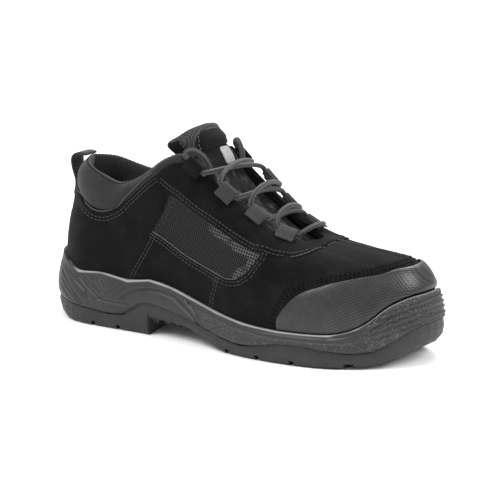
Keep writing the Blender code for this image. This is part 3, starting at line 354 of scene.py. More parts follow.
materials = {
    "shell": makeUpperShell(),
    "suede": makeSuede(),
    "cap": makeCoatedFabric(),
    "collar": makeRibbedTextile("collarCord", 1.15, "#0f0f0f", "#1f1f20", 0.00018, spacer=True),
    "webbing": makeRibbedTextile("loopWebbing", 1.0, "#121212", "#333334"),
    "pull": makeRibbedTextile("pullTape", 1.1, "#131313", "#2c2c2d"),
    "tongue": makeTongueCloth(),
    "foam": makeSoleFoam(),
    "tread": makeTreadRubber(),
    "lace": makeLaceBraid(),
    # bonded polyester thread, a little glossier and paler than the suede it holds
    "thread": makePlain("sewingThread", "#111112", "#1e1e1f", 0.6, 0.3, 0.00003),
    "paleThread": makePlain("paleThread", "#2e2e2f", "#48484a", 0.6, 0.3, 0.00003),
    "darkThread": makePlain("darkThread", "#020202", "#070707", 0.9, 0.3, 0.00003, {"Specular IOR Level": 0.1}),
    # folded tape, worn smooth along its fold
    "piping": makePlain("foldedPiping", "#2c2c2d", "#414143", 0.6, 0.4, 0.00003),
    # painted shade: each pricked needle hole is a dark disc that stands for the shadow inside it
    "hole": makePlain("needleHole", "#050505", "#0a0a0a", 1.0, 0.3, 0.00001),
    # woven label tape with its place left bare
    "label": makePlain("blankLabel", "#8a8a8c", "#9a9a9c", 0.7, 0.6, 0.00006),
    # pressed felt of the footbed: matt, with a short even pile
    "felt": makePlain("footbedFelt", "#0d0d0d", "#161617", 0.95, 0.8, 0.0002),
    "floor": makePlain("paleFloor", "#fafafa", "#ffffff", 0.9, 40.0, 0.00001),
}
print("materials made:", len(materials))


# working tools

def deselectAll():
    for one in bpy.context.selected_objects:
        one.select_set(False)


def makeActive(piece):
    deselectAll()
    piece.select_set(True)
    bpy.context.view_layer.objects.active = piece


def applyModifiers(piece):
    makeActive(piece)
    for modifier in list(piece.modifiers):
        bpy.ops.object.modifier_apply(modifier=modifier.name)


def pieceFrom(shape, name):
    mesh = bpy.data.meshes.new(name)
    shape.to_mesh(mesh)
    shape.free()
    mesh.shade_smooth()
    piece = bpy.data.objects.new(name, mesh)
    bpy.context.scene.collection.objects.link(piece)
    return piece


def mergedCopy(node, name, levels=2, cornerAngle=None):
    # the CAD solid's own mesh, joined up into quads, with its sharp corners held, then rounded
    shape = bmesh.new()
    shape.from_mesh(nodes[node].data)
    bmesh.ops.remove_doubles(shape, verts=shape.verts, dist=0.00002)
    bmesh.ops.join_triangles(
        shape, faces=shape.faces, angle_face_threshold=math.radians(38), angle_shape_threshold=math.radians(80))
    if cornerAngle is not None:
        crease = shape.edges.layers.float.get("crease_edge") or shape.edges.layers.float.new("crease_edge")
        for edge in shape.edges:
            if len(edge.link_faces) == 2 and edge.calc_face_angle(0.0) > math.radians(cornerAngle):
                edge[crease] = 0.85
    piece = pieceFrom(shape, name)
    layers = piece.data.attributes
    for extra in [layer.name for layer in layers if layer.name in ("custom_normal", "sharp_face", "sharp_edge")]:
        layers.remove(layers[extra])
    rounding = piece.modifiers.new("rounding", "SUBSURF")
    rounding.levels = rounding.render_levels = levels
    applyModifiers(piece)
    piece.data.shade_smooth()
    return piece


def rowsOf(collection, field, kind=float, width=3):
    flat = np.empty(len(collection) * width, dtype=kind)
    collection.foreach_get(field, flat)
    return flat.reshape(-1, width)


def coordinates(piece):
    return rowsOf(piece.data.vertices, "co")


def normals(piece):
    return rowsOf(piece.data.vertex_normals, "vector")


def moveVertices(piece, places):
    piece.data.vertices.foreach_set("co", places.ravel())
    piece.data.update()


def storeValue(piece, name, values):
    layer = piece.data.attributes.get(name) or piece.data.attributes.new(name, "FLOAT", "POINT")
    layer.data.foreach_set("value", np.asarray(values, dtype=np.float32))


def settle(piece, keys, slot, *replaced):
    # a finished piece gets its materials and its body, and the nodes it stands for are hidden; its slot is not used
    for key in keys.split():
        piece.data.materials.append(materials[key])
    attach(piece, "root")
    if replaced:
        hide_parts(*replaced)
    print("  made", piece.name, len(piece.data.polygons), "faces")


def relax(piece, weight, rounds):
    # pull each vertex towards the mean of its neighbours, as a smoothing brush does
    edges = rowsOf(piece.data.edges, "vertices", np.int32, 2)
    at = coordinates(piece)
    count = np.bincount(edges.ravel(), minlength=len(at))[:, None]
    for turn in range(rounds):
        total = np.zeros_like(at)
        np.add.at(total, edges[:, 0], at[edges[:, 1]])
        np.add.at(total, edges[:, 1], at[edges[:, 0]])
        at = at + (total / count - at) * weight[:, None] * 0.5
    moveVertices(piece, at)


def lineDistance(points, line):
    # distance of each 2-D point to a line, and which side of it the point lies on
    line = np.asarray(line, dtype=float)
    best = np.full(len(points), 1e9)
    side = np.zeros(len(points))
    for k in range(len(line) - 1):
        a, step = line[k], line[k + 1] - line[k]
        share = np.clip(((points - a) @ step) / (step @ step), 0, 1)
        apart = points - (a + share[:, None] * step)
        distance = np.hypot(apart[:, 0], apart[:, 1])
        nearer = distance < best
        best = np.where(nearer, distance, best)
        cross = step[0] * (points[:, 1] - a[1]) - step[1] * (points[:, 0] - a[0])
        side = np.where(nearer, np.sign(cross), side)
    return best, side


def insidePolygon(points, polygon):
    inside = np.zeros(len(points), dtype=bool)
    for (x1, z1), (x2, z2) in zip(polygon, polygon[1:] + polygon[:1]):
        crosses = (z1 > points[:, 1]) != (z2 > points[:, 1])
        if z1 != z2:
            at = x1 + (points[:, 1] - z1) * (x2 - x1) / (z2 - z1)
            inside ^= crosses & (points[:, 0] < at)
    return inside


def smooth(value, low, high):
    t = np.clip((value - low) / (high - low), 0, 1)
    return t * t * (3 - 2 * t)


# seams of the upper, as x and z in millimetres on its side

seams = {
    "windowLow": [(-50.6, 72.6), (-44.1, 70), (-35.5, 66.1), (-20.2, 59.3), (-1.2, 53.8), (8.1, 51.6),
        (16.2, 50.2), (24.6, 51.8)],
    "windowFront": [(24.6, 51.8), (31.1, 56), (34.8, 61.2), (38.6, 67.4), (38.8, 69.9)],
    "quarter": [(-37.8, 98.5), (-44.6, 82.8), (-50.6, 72.6), (-56.9, 62.2), (-62.3, 53.6), (-67.8, 44.9),
        (-72.5, 36)],
    "vamp": [(4.6, 53), (3.2, 48), (0.6, 38.2), (-1.8, 30)],
    "eyestay": [(-46.1, 104.2), (-38, 100), (-31.4, 97.4), (-24.9, 94), (-15.1, 89.3), (-6.6, 86.1),
        (0.9, 83), (9.7, 79.3), (17.1, 76.1), (25.5, 73), (32.6, 70.6), (39.4, 70.1), (46.6, 68.4),
        (53.3, 67.6), (58.9, 67.2), (64, 68.3), (67.6, 69.6)],
    "cap": [(56.2, 26), (57.4, 31.2), (59.4, 37.8), (63.6, 43.8), (70.5, 49.2), (78.6, 52.2), (87, 55.6),
        (97, 57.9), (106.2, 59.6), (114.4, 61.6), (122.5, 63.9), (128, 64.8)],
    "collar": [(-128, 90.5), (-120, 88.5), (-114.3, 86.2), (-109.2, 82.4), (-102.2, 79.6), (-94.5, 79.2),
        (-87.3, 81.2), (-79.7, 85.7), (-73.5, 91.5), (-66.1, 98.6), (-59.2, 105.5), (-52.5, 110.5)],
}


# upper shell: side panels, window and lining

core = {"heel": -95, "toe": 100, "across": 1, "height": 35}  # middle of the foot, which walls look away from
shellPlan = {"levels": 2, "stripWidth": 5.5, "bandWidth": 5.0, "bandRise": 0.4, "panelRise": 0.45}


def faceOutwards(piece):
    # true where the surface looks away from the core
    away, way = coordinates(piece) / mm, normals(piece)
    away[:, 0] -= np.clip(away[:, 0], core["heel"], core["toe"])
    away -= (0, core["across"], core["height"])
    return (away * way).sum(axis=1) > 0


def buildShell(plan):
    piece = mergedCopy("upper", "upperShell", plan["levels"])
    at = coordinates(piece) / mm
    # the vamp behind the cap is smoothed, where the CAD solid's faces are long
    vampShare = smooth(at[:, 0], 66, 74) * smooth(at[:, 2], 50, 56) * (1 - smooth(at[:, 0], 112, 122))
    relax(piece, vampShare * faceOutwards(piece), 45)
    at, way = coordinates(piece) / mm, normals(piece)
    flat = at[:, (0, 2)]
    outer = faceOutwards(piece)
    fromSeam = {name: lineDistance(flat, line) for name, line in seams.items()}
    above = [point for point in reversed(seams["eyestay"]) if -36 < point[0] < 38]
    polygon = seams["windowLow"] + seams["windowFront"][1:] + above + seams["quarter"][:2]
    apart = lineDistance(flat, polygon + polygon[:1])[0]
    inside = insidePolygon(flat, polygon)
    onSide = outer & (np.abs(at[:, 1]) > 12)
    window = np.where(onSide, np.where(inside, apart, -apart), -9.0)
    # a brighter strip of the cloth runs up the window's front and along its top
    border = np.minimum(fromSeam["windowFront"][0], fromSeam["eyestay"][0])
    strip = np.clip(1 - border + plan["stripWidth"], 0, 1) * (inside & onSide) * smooth(flat[:, 0], -14, 4)
    quarter, vamp = fromSeam["quarter"], fromSeam["vamp"]
    edges = np.minimum(np.minimum(quarter[0], vamp[0]), apart)
    # the quarter laps over the window and the side; the vamp laps over the waist panel
    lift = plan["panelRise"] * (1 - smooth(window, -0.8, 0.8)) * onSide
    behind = smooth(-quarter[0] * quarter[1], -0.8, 0.8) * (flat[:, 1] < 73) * onSide
    ahead = smooth(vamp[0] * vamp[1], -0.8, 0.8) * (flat[:, 1] < 53) * onSide
    lift = lift + plan["panelRise"] * (behind * (flat[:, 0] < -20) + ahead * (flat[:, 0] > -20)) * 0.8
    band = smooth(plan["bandWidth"] - fromSeam["cap"][0], -0.6, 0.6) * outer * (flat[:, 0] > 50)
    lift = (lift + plan["bandRise"] * band) * np.where(outer, 1, 0)
    moveVertices(piece, (at + way * lift[:, None]) * mm)
    storeValue(piece, "window", window)
    storeValue(piece, "brightStrip", strip)
    storeValue(piece, "panelEdge", np.where(onSide, edges, 9.0))
    storeValue(piece, "lining", np.where(outer, 0.0, 1.0))
    settle(piece, "shell", "suede", "upper")
    return piece


shell = buildShell(shellPlan)


# eyestay, cap, footbed, patch

def buildPlain(node, name, key, slot, levels, cornerAngle=None):
    piece = mergedCopy(node, name, levels, cornerAngle)
    settle(piece, key, slot, node)
    return piece


eyestay = buildPlain("eyestay", "eyestayPanel", "suede", "suede", 2)
cap = buildPlain("toe_cap", "toeCover", "cap", "coated_fabric", 2)
buildPlain("insole", "footbed", "felt", "insole_fabric", 1)
patch = buildPlain("tongue_patch", "tonguePatch", "tongue", "suede", 2, 50)
moveVertices(patch, coordinates(patch) + normals(patch) * 0.0012 * smooth(coordinates(patch)[:, 2:3] / mm, 112, 128))


# padded collar and tongue

padPlan = {
    "collarPuff": 1.0, "tonguePuff": 1.1, "lump": 16.0,
    "medialSpread": 5.0, "lateralSpread": 1.5, "bulge": 4.5,
}


def ribsRound(at, bins=40):
    # arc length round the pad's own middle line, so that ribs run the collar's way
    turn = np.arctan2(at[:, 1] - 1.0, at[:, 0] + 92)
    share = (turn + math.pi) / (2 * math.pi) * bins
    middles = []
    for k in range(bins):
        near = np.abs((share - k - 0.5 + bins / 2) % bins - bins / 2) < 1.5
        reach = np.hypot(at[near, 0] + 92, at[near, 1] - 1.0)
        middles.append((reach.mean(), at[near, 2].mean()) if near.any() else (np.nan, np.nan))
    middles = np.array(middles)
    known = ~np.isnan(middles[:, 0])
    marks = np.arange(bins) + 0.5
    reach = np.interp(share, marks[known], middles[known, 0], period=bins)
    height = np.interp(share, marks[known], middles[known, 1], period=bins)
    out = np.hypot(at[:, 0] + 92, at[:, 1] - 1.0) - reach
    return np.arctan2(at[:, 2] - height, out) * 8.0


def buildCollar(plan):
    piece = mergedCopy("collar", "collarPad", 2)
    at, way = coordinates(piece) / mm, normals(piece)
    low = np.array(seams["collar"])
    base = np.interp(at[:, 0], low[:, 0], low[:, 1])
    rise = at[:, 2] - base
    # fullest half way up, pinched at the sewn edges, with soft lumps where the foam bunches
    full = smooth(rise, 0, 9) * np.clip(way[:, 2] * 0.4 + 0.7, 0, 1)
    lumps = np.array([noise.noise(Vector(p) / plan["lump"]) for p in at])
    moveVertices(piece, (at + way * (full * (plan["collarPuff"] * 0.5 + 0.9 * lumps))[:, None]) * mm)
    storeValue(piece, "rib", ribsRound(at))
    inwards = -(way[:, 0] * (at[:, 0] + 92) / 34 * (at[:, 0] < -92) + way[:, 1] * np.sign(at[:, 1] - 1.0))
    storeValue(piece, "inner", smooth(inwards, 0.15, 0.35))
    settle(piece, "collar", "textile", "collar")
    return piece


def swell(piece, plan):
    # foam fills the throat: the tongue spreads between the loops and stands proud under the label
    at, way = coordinates(piece) / mm, normals(piece)
    level = smooth(at[:, 2], 78, 88) * (1 - smooth(at[:, 2], 131, 138))
    spread = np.where(at[:, 1] > 0.5, plan["medialSpread"], -plan["lateralSpread"])
    spread = spread * smooth(np.abs(at[:, 1] - 0.5), 1, 14)
    front = np.clip(way[:, 0] * 0.75 + way[:, 2] * 0.65, 0, 1)
    bulge = plan["bulge"] * smooth(at[:, 2], 104, 118) * (1 - 0.4 * smooth(at[:, 2], 130, 141)) * front
    at[:, 1] += spread * level
    at[:, 0] += bulge * 0.75
    at[:, 2] += bulge * 0.65
    moveVertices(piece, at * mm)


def facingDistance(at):
    # how far inside the tongue's round-topped suede facing each point lies, in millimetres
    corner = 8.0
    side = np.abs(at[:, 1] - 0.5) - 13.6 + 0.1 * np.clip(130 - at[:, 2], 0, 40) + corner
    over = at[:, 2] - 138.2 + corner
    apart = np.hypot(np.maximum(side, 0), np.maximum(over, 0)) + np.minimum(np.maximum(side, over), 0) - corner
    return np.minimum(-apart, at[:, 2] - 113.0)


def buildTongue(plan):
    piece = mergedCopy("tongue", "tonguePad", 2)
    at, way = coordinates(piece) / mm, normals(piece)
    # two upright folds run down the tongue where the laces hold it, and the foam lumps between them
    lumps = np.array([noise.noise(Vector((p[0] / 2.2, p[1], p[2] / 2.2)) / (plan["lump"] * 0.5)) for p in at])
    folds = -1.0 * np.exp(-((np.abs(at[:, 1] - 0.5) - 8.0) / 2.2) ** 2) * smooth(at[:, 2], 84, 100)
    up = np.clip(way[:, 0] + way[:, 2], 0, 1)
    hold = 1 - smooth(at[:, 2], 126, 134)
    puff = plan["tonguePuff"] * smooth(at[:, 2], 112, 128)
    moveVertices(piece, (at + way * (up * hold * (folds + 0.9 * lumps) + puff)[:, None]) * mm)
    # the suede facing at the top of the tongue and the ribbed binding round it
    storeValue(piece, "facing", facingDistance(at) * np.where(up > 0.2, 1, -1))
    swell(piece, plan)
    settle(piece, "tongue", "textile", "tongue")
    return piece


collar = buildCollar(padPlan)
tongue = buildTongue(padPlan)
storeValue(patch, "facing", facingDistance(coordinates(patch) / mm))
swell(patch, padPlan)


# webbing loops and the pull loop

loopUp = {
    "lateral": ((0.42, 0.67, 0.612), (0.028, 0.973, 0.228), (-0.211, 0.975, -0.074), (-0.327, 0.944, -0.044)),
    "medial": ((0.609, -0.153, 0.779), (0.112, -0.938, 0.327), (-0.224, -0.961, -0.16), (-0.256, -0.961, -0.1)),
}


def buildLoops():
    for side, ways in loopUp.items():
        for k, up in enumerate(ways):
            node = f"lace_loop_{side}_{k + 1}"
            piece = mergedCopy(node, f"webbing{side.capitalize()}{k + 1}", 2, 50)
            storeValue(piece, "rib", coordinates(piece) / mm @ np.array(up))
            settle(piece, "suede" if k == 0 else "webbing", "cord", node)  # the top loop is cut from suede


def buildPullLoop():
    piece = mergedCopy("pull_loop", "pullTape", 2, 50)
    storeValue(piece, "rib", coordinates(piece)[:, 2] / mm)
    settle(piece, "pull", "textile", "pull_loop")


buildLoops()
buildPullLoop()
print("upper pieces built")


# sole

solePlan = {
    "levels": 2,
    "rim": [(-129.8, 44), (-112.5, 36.7), (-93.4, 38.9), (-70, 35.6), (-52, 38.9), (-34, 36.7),
        (-16.2, 31.9), (7.8, 26.4), (30.4, 23.1), (59, 22), (94.8, 22.8), (111.2, 27.9), (124.1, 41.1),
        (134.4, 47)],
    "toeRibs": {"low": 29, "pitch": 3.9, "slope": 0.42, "rise": 0.75},
    # grooves and ridges of the side wall: points as x and z, depth (below 0 stands out), half width, in mm
    "relief": [
        ([(-17.5, 29), (4.5, 24), (24.7, 20), (52.6, 18.4), (77.4, 18.8), (104, 18.8), (111.5, 20.2),
            (121.6, 28.4), (130, 36)], 0.55, 0.7),
        ([(-76.7, 21.9), (-70.8, 27), (-62.4, 30.8), (-51.6, 32.9), (-41.1, 33.1), (-30.4, 31.3), (-23.3, 27.4),
            (-14.8, 22.1), (-9, 18), (-5.9, 14.6)], 1.35, 1.1),
        ([(-19, 30.3), (-9.7, 23.7), (-1, 15.1)], 0.75, 0.9),
        ([(-87.4, 24.4), (-80.6, 29.1), (-74.2, 33.2), (-68, 36.5)], -0.75, 0.9),
        ([(-93.4, 20.5), (-80.7, 19.7), (-66.8, 19.9)], 0.75, 0.8),
        ([(-131.4, 33.5), (-106.4, 15.1)], 1.05, 0.9),
        ([(-130.9, 28.4), (-109.8, 15.4)], 0.9, 0.8),
        ([(-131.1, 24), (-115.1, 14.4)], 0.75, 0.8),
        ([(-124.9, 35.8), (-104.5, 25), (-100.9, 15)], 1.2, 0.9),
        ([(-110, 32.6), (-96.8, 23.9), (-91.3, 20.8)], 1.05, 0.9),
        ([(-106, 33.2), (-91.6, 24.2)], 0.75, 0.8),
        ([(-98.2, 31), (-92.2, 25.4)], 0.75, 0.7),
        ([(-92.8, 33.4), (-88.1, 28.5)], 0.75, 0.7),
        ([(2.5, 14), (20.8, 20.6)], 0.75, 0.9),
    ],
}


def refineNear(piece, lines, reach):
    # cut the faces by the relief lines once more, so that the grooves have something to be cut into
    shape = bmesh.new()
    shape.from_mesh(piece.data)
    middles = np.array([face.calc_center_median()[:] for face in shape.faces]) / mm
    near = np.zeros(len(middles), dtype=bool)
    for line, depth, width in lines:
        near |= lineDistance(middles[:, (0, 2)], line)[0] < reach
    shape.faces.ensure_lookup_table()
    edges = {edge for k in np.nonzero(near)[0] for edge in shape.faces[k].edges}
    bmesh.ops.subdivide_edges(shape, edges=list(edges), cuts=1, use_grid_fill=True)
    shape.to_mesh(piece.data)
    shape.free()
    piece.data.shade_smooth()


def buildMidsole(plan):
    piece = mergedCopy("midsole", "midsoleFoam", plan["levels"], 42)
    refineNear(piece, plan["relief"], 2.6)
    at, way = coordinates(piece) / mm, normals(piece)
    outer = (np.abs(way[:, 1]) > 0.3) & (at[:, 1] * way[:, 1] > 0)
    move, cuts = np.zeros(len(at)), np.full(len(at), 9.0)
    for line, depth, width in plan["relief"]:
        apart = lineDistance(at[:, (0, 2)], line)[0]
        move -= depth * np.exp(-(apart / width) ** 2)
        cuts = np.where(outer, np.minimum(cuts, apart), 9.0)
    # four ribs run round the toe bumper
    height = at[:, 2] - plan["toeRibs"]["slope"] * (at[:, 0] - 142)
    share = (height - plan["toeRibs"]["low"]) / plan["toeRibs"]["pitch"]
    facesOut = (np.abs(way[:, 2]) < 0.8) * ((at[:, :2] * way[:, :2]).sum(axis=1) > 0)
    toe = smooth(at[:, 0], 112, 126) * (share > 0) * (share < 4) * facesOut
    ribs = plan["toeRibs"]["rise"] * (1 - np.abs(np.cos(math.pi * share)) * 2) * toe
    moveVertices(piece, (at + way * (move * outer + ribs)[:, None]) * mm)
    lip = np.interp(at[:, 0], [-18, 4.5, 24.7, 52.6, 104, 111.5, 121.6], [30, 25.1, 20.7, 19.1, 19.4, 20.5, 28.9])
    below = 1 - smooth(at[:, 2] - lip, -1.0, 0.4)
    bumper = smooth(at[:, 0], 112, 120)
    waist = smooth(at[:, 0], -14, -4)
    storeValue(piece, "pebble", np.maximum(0.55 * below * waist, bumper))
    # distance to the grooves and to the valleys of the toe ribs, which the material paints dark as shade
    valleys = np.abs(share - np.round(share)) * plan["toeRibs"]["pitch"] + 9 * (1 - toe)
    storeValue(piece, "groove", np.minimum(cuts, valleys))
    rim = lineDistance(at[:, (0, 2)], plan["rim"])[0]
    # painted highlight: pale along the sole's top edge and on the upward-facing top of the toe bumper
    paintedTopHighlight = (1 - smooth(rim, 0.3, 1.15)) * (at[:, 0] > -125)
    storeValue(piece, "paintedTopHighlight", np.maximum(paintedTopHighlight, 0.6 * smooth(way[:, 2], 0.4, 0.8) * (at[:, 0] > 95)))
    settle(piece, "foam", "midsole_foam", "midsole")


def dressOutsole():
    # the tread stays the CAD solid, with its hard edges softened as the mould leaves them
    node = nodes["outsole"]
    node.data.materials.clear()
    node.data.materials.append(materials["tread"])
    edges = node.modifiers.new("mouldEdge", "BEVEL")
    edges.width, edges.segments, edges.limit_method, edges.angle_limit = 0.0004, 2, "ANGLE", math.radians(35)
    edges.use_clamp_overlap = True


def addWaistLugs(settings):
    # small grip blocks moulded under the edge of the waist, on both sides
    under = BVHTree.FromObject(nodes["outsole"], bpy.context.evaluated_depsgraph_get())
    placed = nodes["outsole"].matrix_world
    deselectAll()
    made = []
    for side in (-1, 1):
        for x in settings["places"]:
            # the lowest place of the tread over this point; the tree is in the node's own frame
            start = placed.inverted() @ (Vector((x, side * settings["reach"] + 1, -20)) * mm)
            hit = under.ray_cast(start, placed.inverted().to_3x3() @ Vector((0, 0, 1)))
            if hit[0] is None:
                continue
            size = [v * mm for v in settings["size"]]
            bpy.ops.mesh.primitive_cube_add(size=1, location=placed @ hit[0], scale=size)
            made.append(bpy.context.active_object)
    deselectAll()
    for one in made:
        one.select_set(True)
    bpy.context.view_layer.objects.active = made[0]
    bpy.ops.object.join()
    piece = bpy.context.active_object
    piece.name = "waistLugs"
    bpy.ops.object.transform_apply(location=True, rotation=True, scale=True)
    edge = piece.modifiers.new("softEdge", "BEVEL")
    edge.width, edge.segments = 0.0006, 2
    applyModifiers(piece)
    settle(piece, "tread", "outsole_rubber")


buildMidsole(solePlan)
dressOutsole()
addWaistLugs({"places": (-48, -38, -29), "reach": 32, "size": (5.5, 6.0, 5.0)})
print("sole built")


# tubes: the lace and piping

def sweep(name, path, radius, around, ridges=0.0):
    # a round tube along a path in millimetres, with its length and turn stored for the braid
    path = [Vector(p) for p in path]
    ways = [(path[min(k + 1, len(path) - 1)] - path[max(k - 1, 0)]).normalized() for k in range(len(path))]
    across = ways[0].orthogonal().normalized()
    shape = bmesh.new()
    run = shape.loops.layers.uv.new("run")
    rings, lengths, length = [], [], 0.0
    for k, (place, way) in enumerate(zip(path, ways)):
        across = (across - way * across.dot(way)).normalized()
        other = way.cross(across)
        length += (place - path[k - 1]).length if k else 0.0
        lengths.append(length)
        ring = []
        for turn in range(around):
            angle = 2 * math.pi * turn / around
            reach = radius * (1 + ridges * math.cos(2 * angle))
            ring.append(shape.verts.new((place + (across * math.cos(angle) + other * math.sin(angle)) * reach) * mm))
        rings.append(ring)
    for k in range(len(rings) - 1):
        for turn in range(around):
            after = (turn + 1) % around
            face = shape.faces.new((rings[k][turn], rings[k][after], rings[k + 1][after], rings[k + 1][turn]))
            corners = ((lengths[k], turn), (lengths[k], turn + 1), (lengths[k + 1], turn + 1), (lengths[k + 1], turn))
            for loop, (u, v) in zip(face.loops, corners):
                loop[run].uv = (u, v / around)
    shape.faces.new(list(reversed(rings[0])))
    shape.faces.new(rings[-1])
    bmesh.ops.recalc_face_normals(shape, faces=shape.faces)
    return pieceFrom(shape, name)


def curveThrough(points, spacing):
    # an even run of places on a smooth curve through the points
    points = np.array(points, dtype=float)
    padded = np.vstack([2 * points[0] - points[1], points, 2 * points[-1] - points[-2]])
    fine = []
    for k in range(1, len(padded) - 2):
        a, b, c, d = padded[k - 1:k + 3]
        for t in np.linspace(0, 1, 12, endpoint=False):
            bend, turn = 2 * a - 5 * b + 4 * c - d, 3 * b - a - 3 * c + d
            fine.append(0.5 * (2 * b + (c - a) * t + bend * t * t + turn * t ** 3))
    fine.append(points[-1])
    fine = np.array(fine)
    steps = np.concatenate([[0], np.cumsum(np.linalg.norm(np.diff(fine, axis=0), axis=1))])
    count = max(2, int(round(steps[-1] / spacing)))
    marks = np.linspace(0, steps[-1], count + 1)
    return np.column_stack([np.interp(marks, steps, fine[:, k]) for k in range(3)])


lacePlan = {
    "radius": 1.75, "around": 12, "spacing": 1.2, "ridges": 0.06, "reach": 27, "arch": 2.88, "overlap": 2.7,
    # each loop: place and heading at its heel end, then at its toe end
    "lateral": (
        ((-23, -31.3, 126.1), (-0.34, -0.51, 0.79), (-11.4, -30.1, 116.8), (0.9, -0.38, -0.21)),
        ((0.4, -26.1, 110.6), (-0.25, -0.21, 0.94), (12.1, -24.3, 101.5), (1, -0.02, -0.03)),
        ((20.4, -20.4, 96.6), (-0.32, 0, 0.95), (32.5, -18.4, 88.1), (0.98, 0.21, 0.03)),
        ((39.3, -17.2, 83.9), (-0.55, -0.15, 0.82), (52.7, -12.7, 79.2), (0.89, 0.32, 0.32)),
    ),
    "medial": (
        ((-25.6, 33, 122.9), (-0.53, 0.66, 0.54), (-14, 31.7, 113.6), (0.72, 0.52, -0.46)),
        ((0.1, 28.2, 110.1), (-0.42, 0.1, 0.5), (11.8, 26.4, 101), (0.99, 0.1, -0.06)),
        ((20.4, 21.4, 96.8), (-0.42, -0.1, 0.5), (32.5, 20, 88.2), (0.97, -0.23, 0.02)),
        ((39, 19.8, 84.1), (-0.56, -0.05, 0.5), (52.7, 16.7, 79.3), (0.91, -0.27, 0.31)),
    ),
    # the ends bend over the rim and go down between the tongue and the eyestay
    "lateralEnd": [(-13, -20, 114), (-13.5, -21, 121), (-16.5, -24, 127.2), (-21, -28, 130.6),
        (-24.6, -31.2, 129.4)],
    "medialEnd": [(-14, 21, 113), (-14.5, 22.8, 119.5), (-18, 25.8, 125.4), (-23, 29.6, 128.4),
        (-26.8, 32.8, 126.4)],
}


def strand(start, startWay, finish, finishWay, plan, lift):
    # a length of lace between two loops: it leaves each along its heading, and arches over the tongue
    start, startWay, finish, finishWay = map(np.array, (start, startWay, finish, finishWay))
    t = np.linspace(0, 1, 25)[:, None]
    places = start * (1 + 2 * t) * (1 - t) ** 2 + finish * t * t * (3 - 2 * t)
    places = places + (startWay * t * (1 - t) ** 2 + finishWay * t * t * (1 - t)) * plan["reach"]
    places[:, 2:] += plan["arch"] * np.sin(math.pi * t) + lift * np.sin(math.pi * t) ** 2
    return list(places)


def buildLace(plan):
    # one cord: down from one top loop, across at the toe, and up to the other
    sides = (plan["lateral"], plan["medial"])

    def crossing(side, k):
        # from a loop's heel end over to the toe end of the loop behind it on the other side
        lift = plan["overlap"] if side == 0 else 0.0
        return strand(*sides[side][k + 1][:2], *sides[1 - side][k][2:], plan, lift)[1:-1]

    path = list(plan["lateralEnd"])
    for k in range(4):
        heel, heelWay, toe, toeWay = sides[k % 2][k]
        path += [heel, toe]
        if k < 3:
            path += reversed(crossing(1 - k % 2, k))
    path += strand(*plan["medial"][3][2:], *plan["lateral"][3][2:], plan, 0.0)[1:-1]
    for k in (3, 2, 1, 0):
        heel, heelWay, toe, toeWay = sides[(k + 1) % 2][k]
        path += [toe, heel]
        if k > 0:
            path += crossing((k + 1) % 2, k - 1)
    path += list(reversed(plan["medialEnd"]))
    piece = sweep("lace", curveThrough(path, plan["spacing"]), plan["radius"], plan["around"], plan["ridges"])
    settle(piece, "lace", "cord", "lace_bar", "lace_cross_1", "lace_cross_2", "lace_cross_3")


buildLace(lacePlan)
print("lace threaded")


# stitching

def treeOf(*pieces):
    # one search tree over the finished outer surfaces
    places, faces = [], []
    for piece in pieces:
        start = len(places)
        places += [v.co.copy() for v in piece.data.vertices]
        faces += [tuple(start + k for k in face.vertices) for face in piece.data.polygons]
    return BVHTree.FromPolygons(places, faces)


outside = treeOf(shell, eyestay, cap, collar, tongue, patch)
stitchPlan = {"length": 2.2, "width": 0.8, "height": 0.5, "pitch": 3.1}


def castOnto(starts, way):
    # the places where rays from outside meet the finished surfaces, in millimetres
    hits = [outside.ray_cast(Vector(start) * mm, Vector(way).normalized())[0] for start in starts]
    return [hit / mm for hit in hits if hit is not None]


def onSide(points, side):
    # seam points, x and z, carried onto the surface of one side
    return castOnto([(x, side * 120, z) for x, z in points], (0, -side, 0))


def outwards(place):
    # the way out of the shoe from a place near its wall, in millimetres
    x, y, z = place
    along = x - min(max(x, core["heel"]), core["toe"])
    return Vector((along, y - core["across"], (z - core["height"]) * 0.25)).normalized()


def rowOnSurface(points, offset, pitch, facing=None):
    # stitch places along a line on the surface, moved sideways by offset and found from outside
    row = []
    line = curveThrough(points, pitch)
    for k, place in enumerate(line):
        way = Vector(line[min(k + 1, len(line) - 1)] - line[max(k - 1, 0)]).normalized()
        out = Vector(facing).normalized() if facing else outwards(place)
        start = Vector(place) + out.cross(way).normalized() * offset + out * 9
        hit = outside.ray_cast(start * mm, -out)
        if hit[0] is not None and hit[1].dot(out) > 0.15:
            row.append((hit[0] / mm, hit[1], way))
    return row


def sewRows(name, rows, thread, slot, plan=stitchPlan):
    # each stitch a small bulged bar with a dark disc of painted shade for the needle hole at its end, all rows of a
    # seam joined
    shape = bmesh.new()
    half, wide, high = plan["length"] / 2, plan["width"] / 2, plan["height"]
    profile = ((-1.0, 0.35, -0.5), (-0.6, 0.9, 0.15), (0.0, 1.0, 0.5), (0.6, 0.9, 0.15), (1.0, 0.35, -0.5))
    for row in rows:
        for place, up, way in row:
            way = (way - up * way.dot(up)).normalized()
            across = up.cross(way)
            rings = []
            for along, breadth, rise in profile:
                ring = []
                for turn in range(5):
                    angle = math.pi * (turn / 4)
                    height = math.sin(angle) * high * 0.6 + rise * 0.3
                    shift = across * math.cos(angle) * wide * breadth + up * height
                    ring.append(shape.verts.new((place + way * along * half + shift) * mm))
                rings.append(ring)
            for a, b in zip(rings, rings[1:]):
                for turn in range(4):
                    shape.faces.new((a[turn], a[turn + 1], b[turn + 1], b[turn]))
            centre = place + way * plan["pitch"] / 2 + up * 0.08
            turns = [2 * math.pi * k / 5 for k in range(5)]
            rim = [centre + way * math.cos(a) * 0.55 + across * math.sin(a) * 0.5 for a in turns]
            shape.faces.new([shape.verts.new(corner * mm) for corner in rim]).material_index = 1
    settle(pieceFrom(shape, name), thread + " hole", slot)


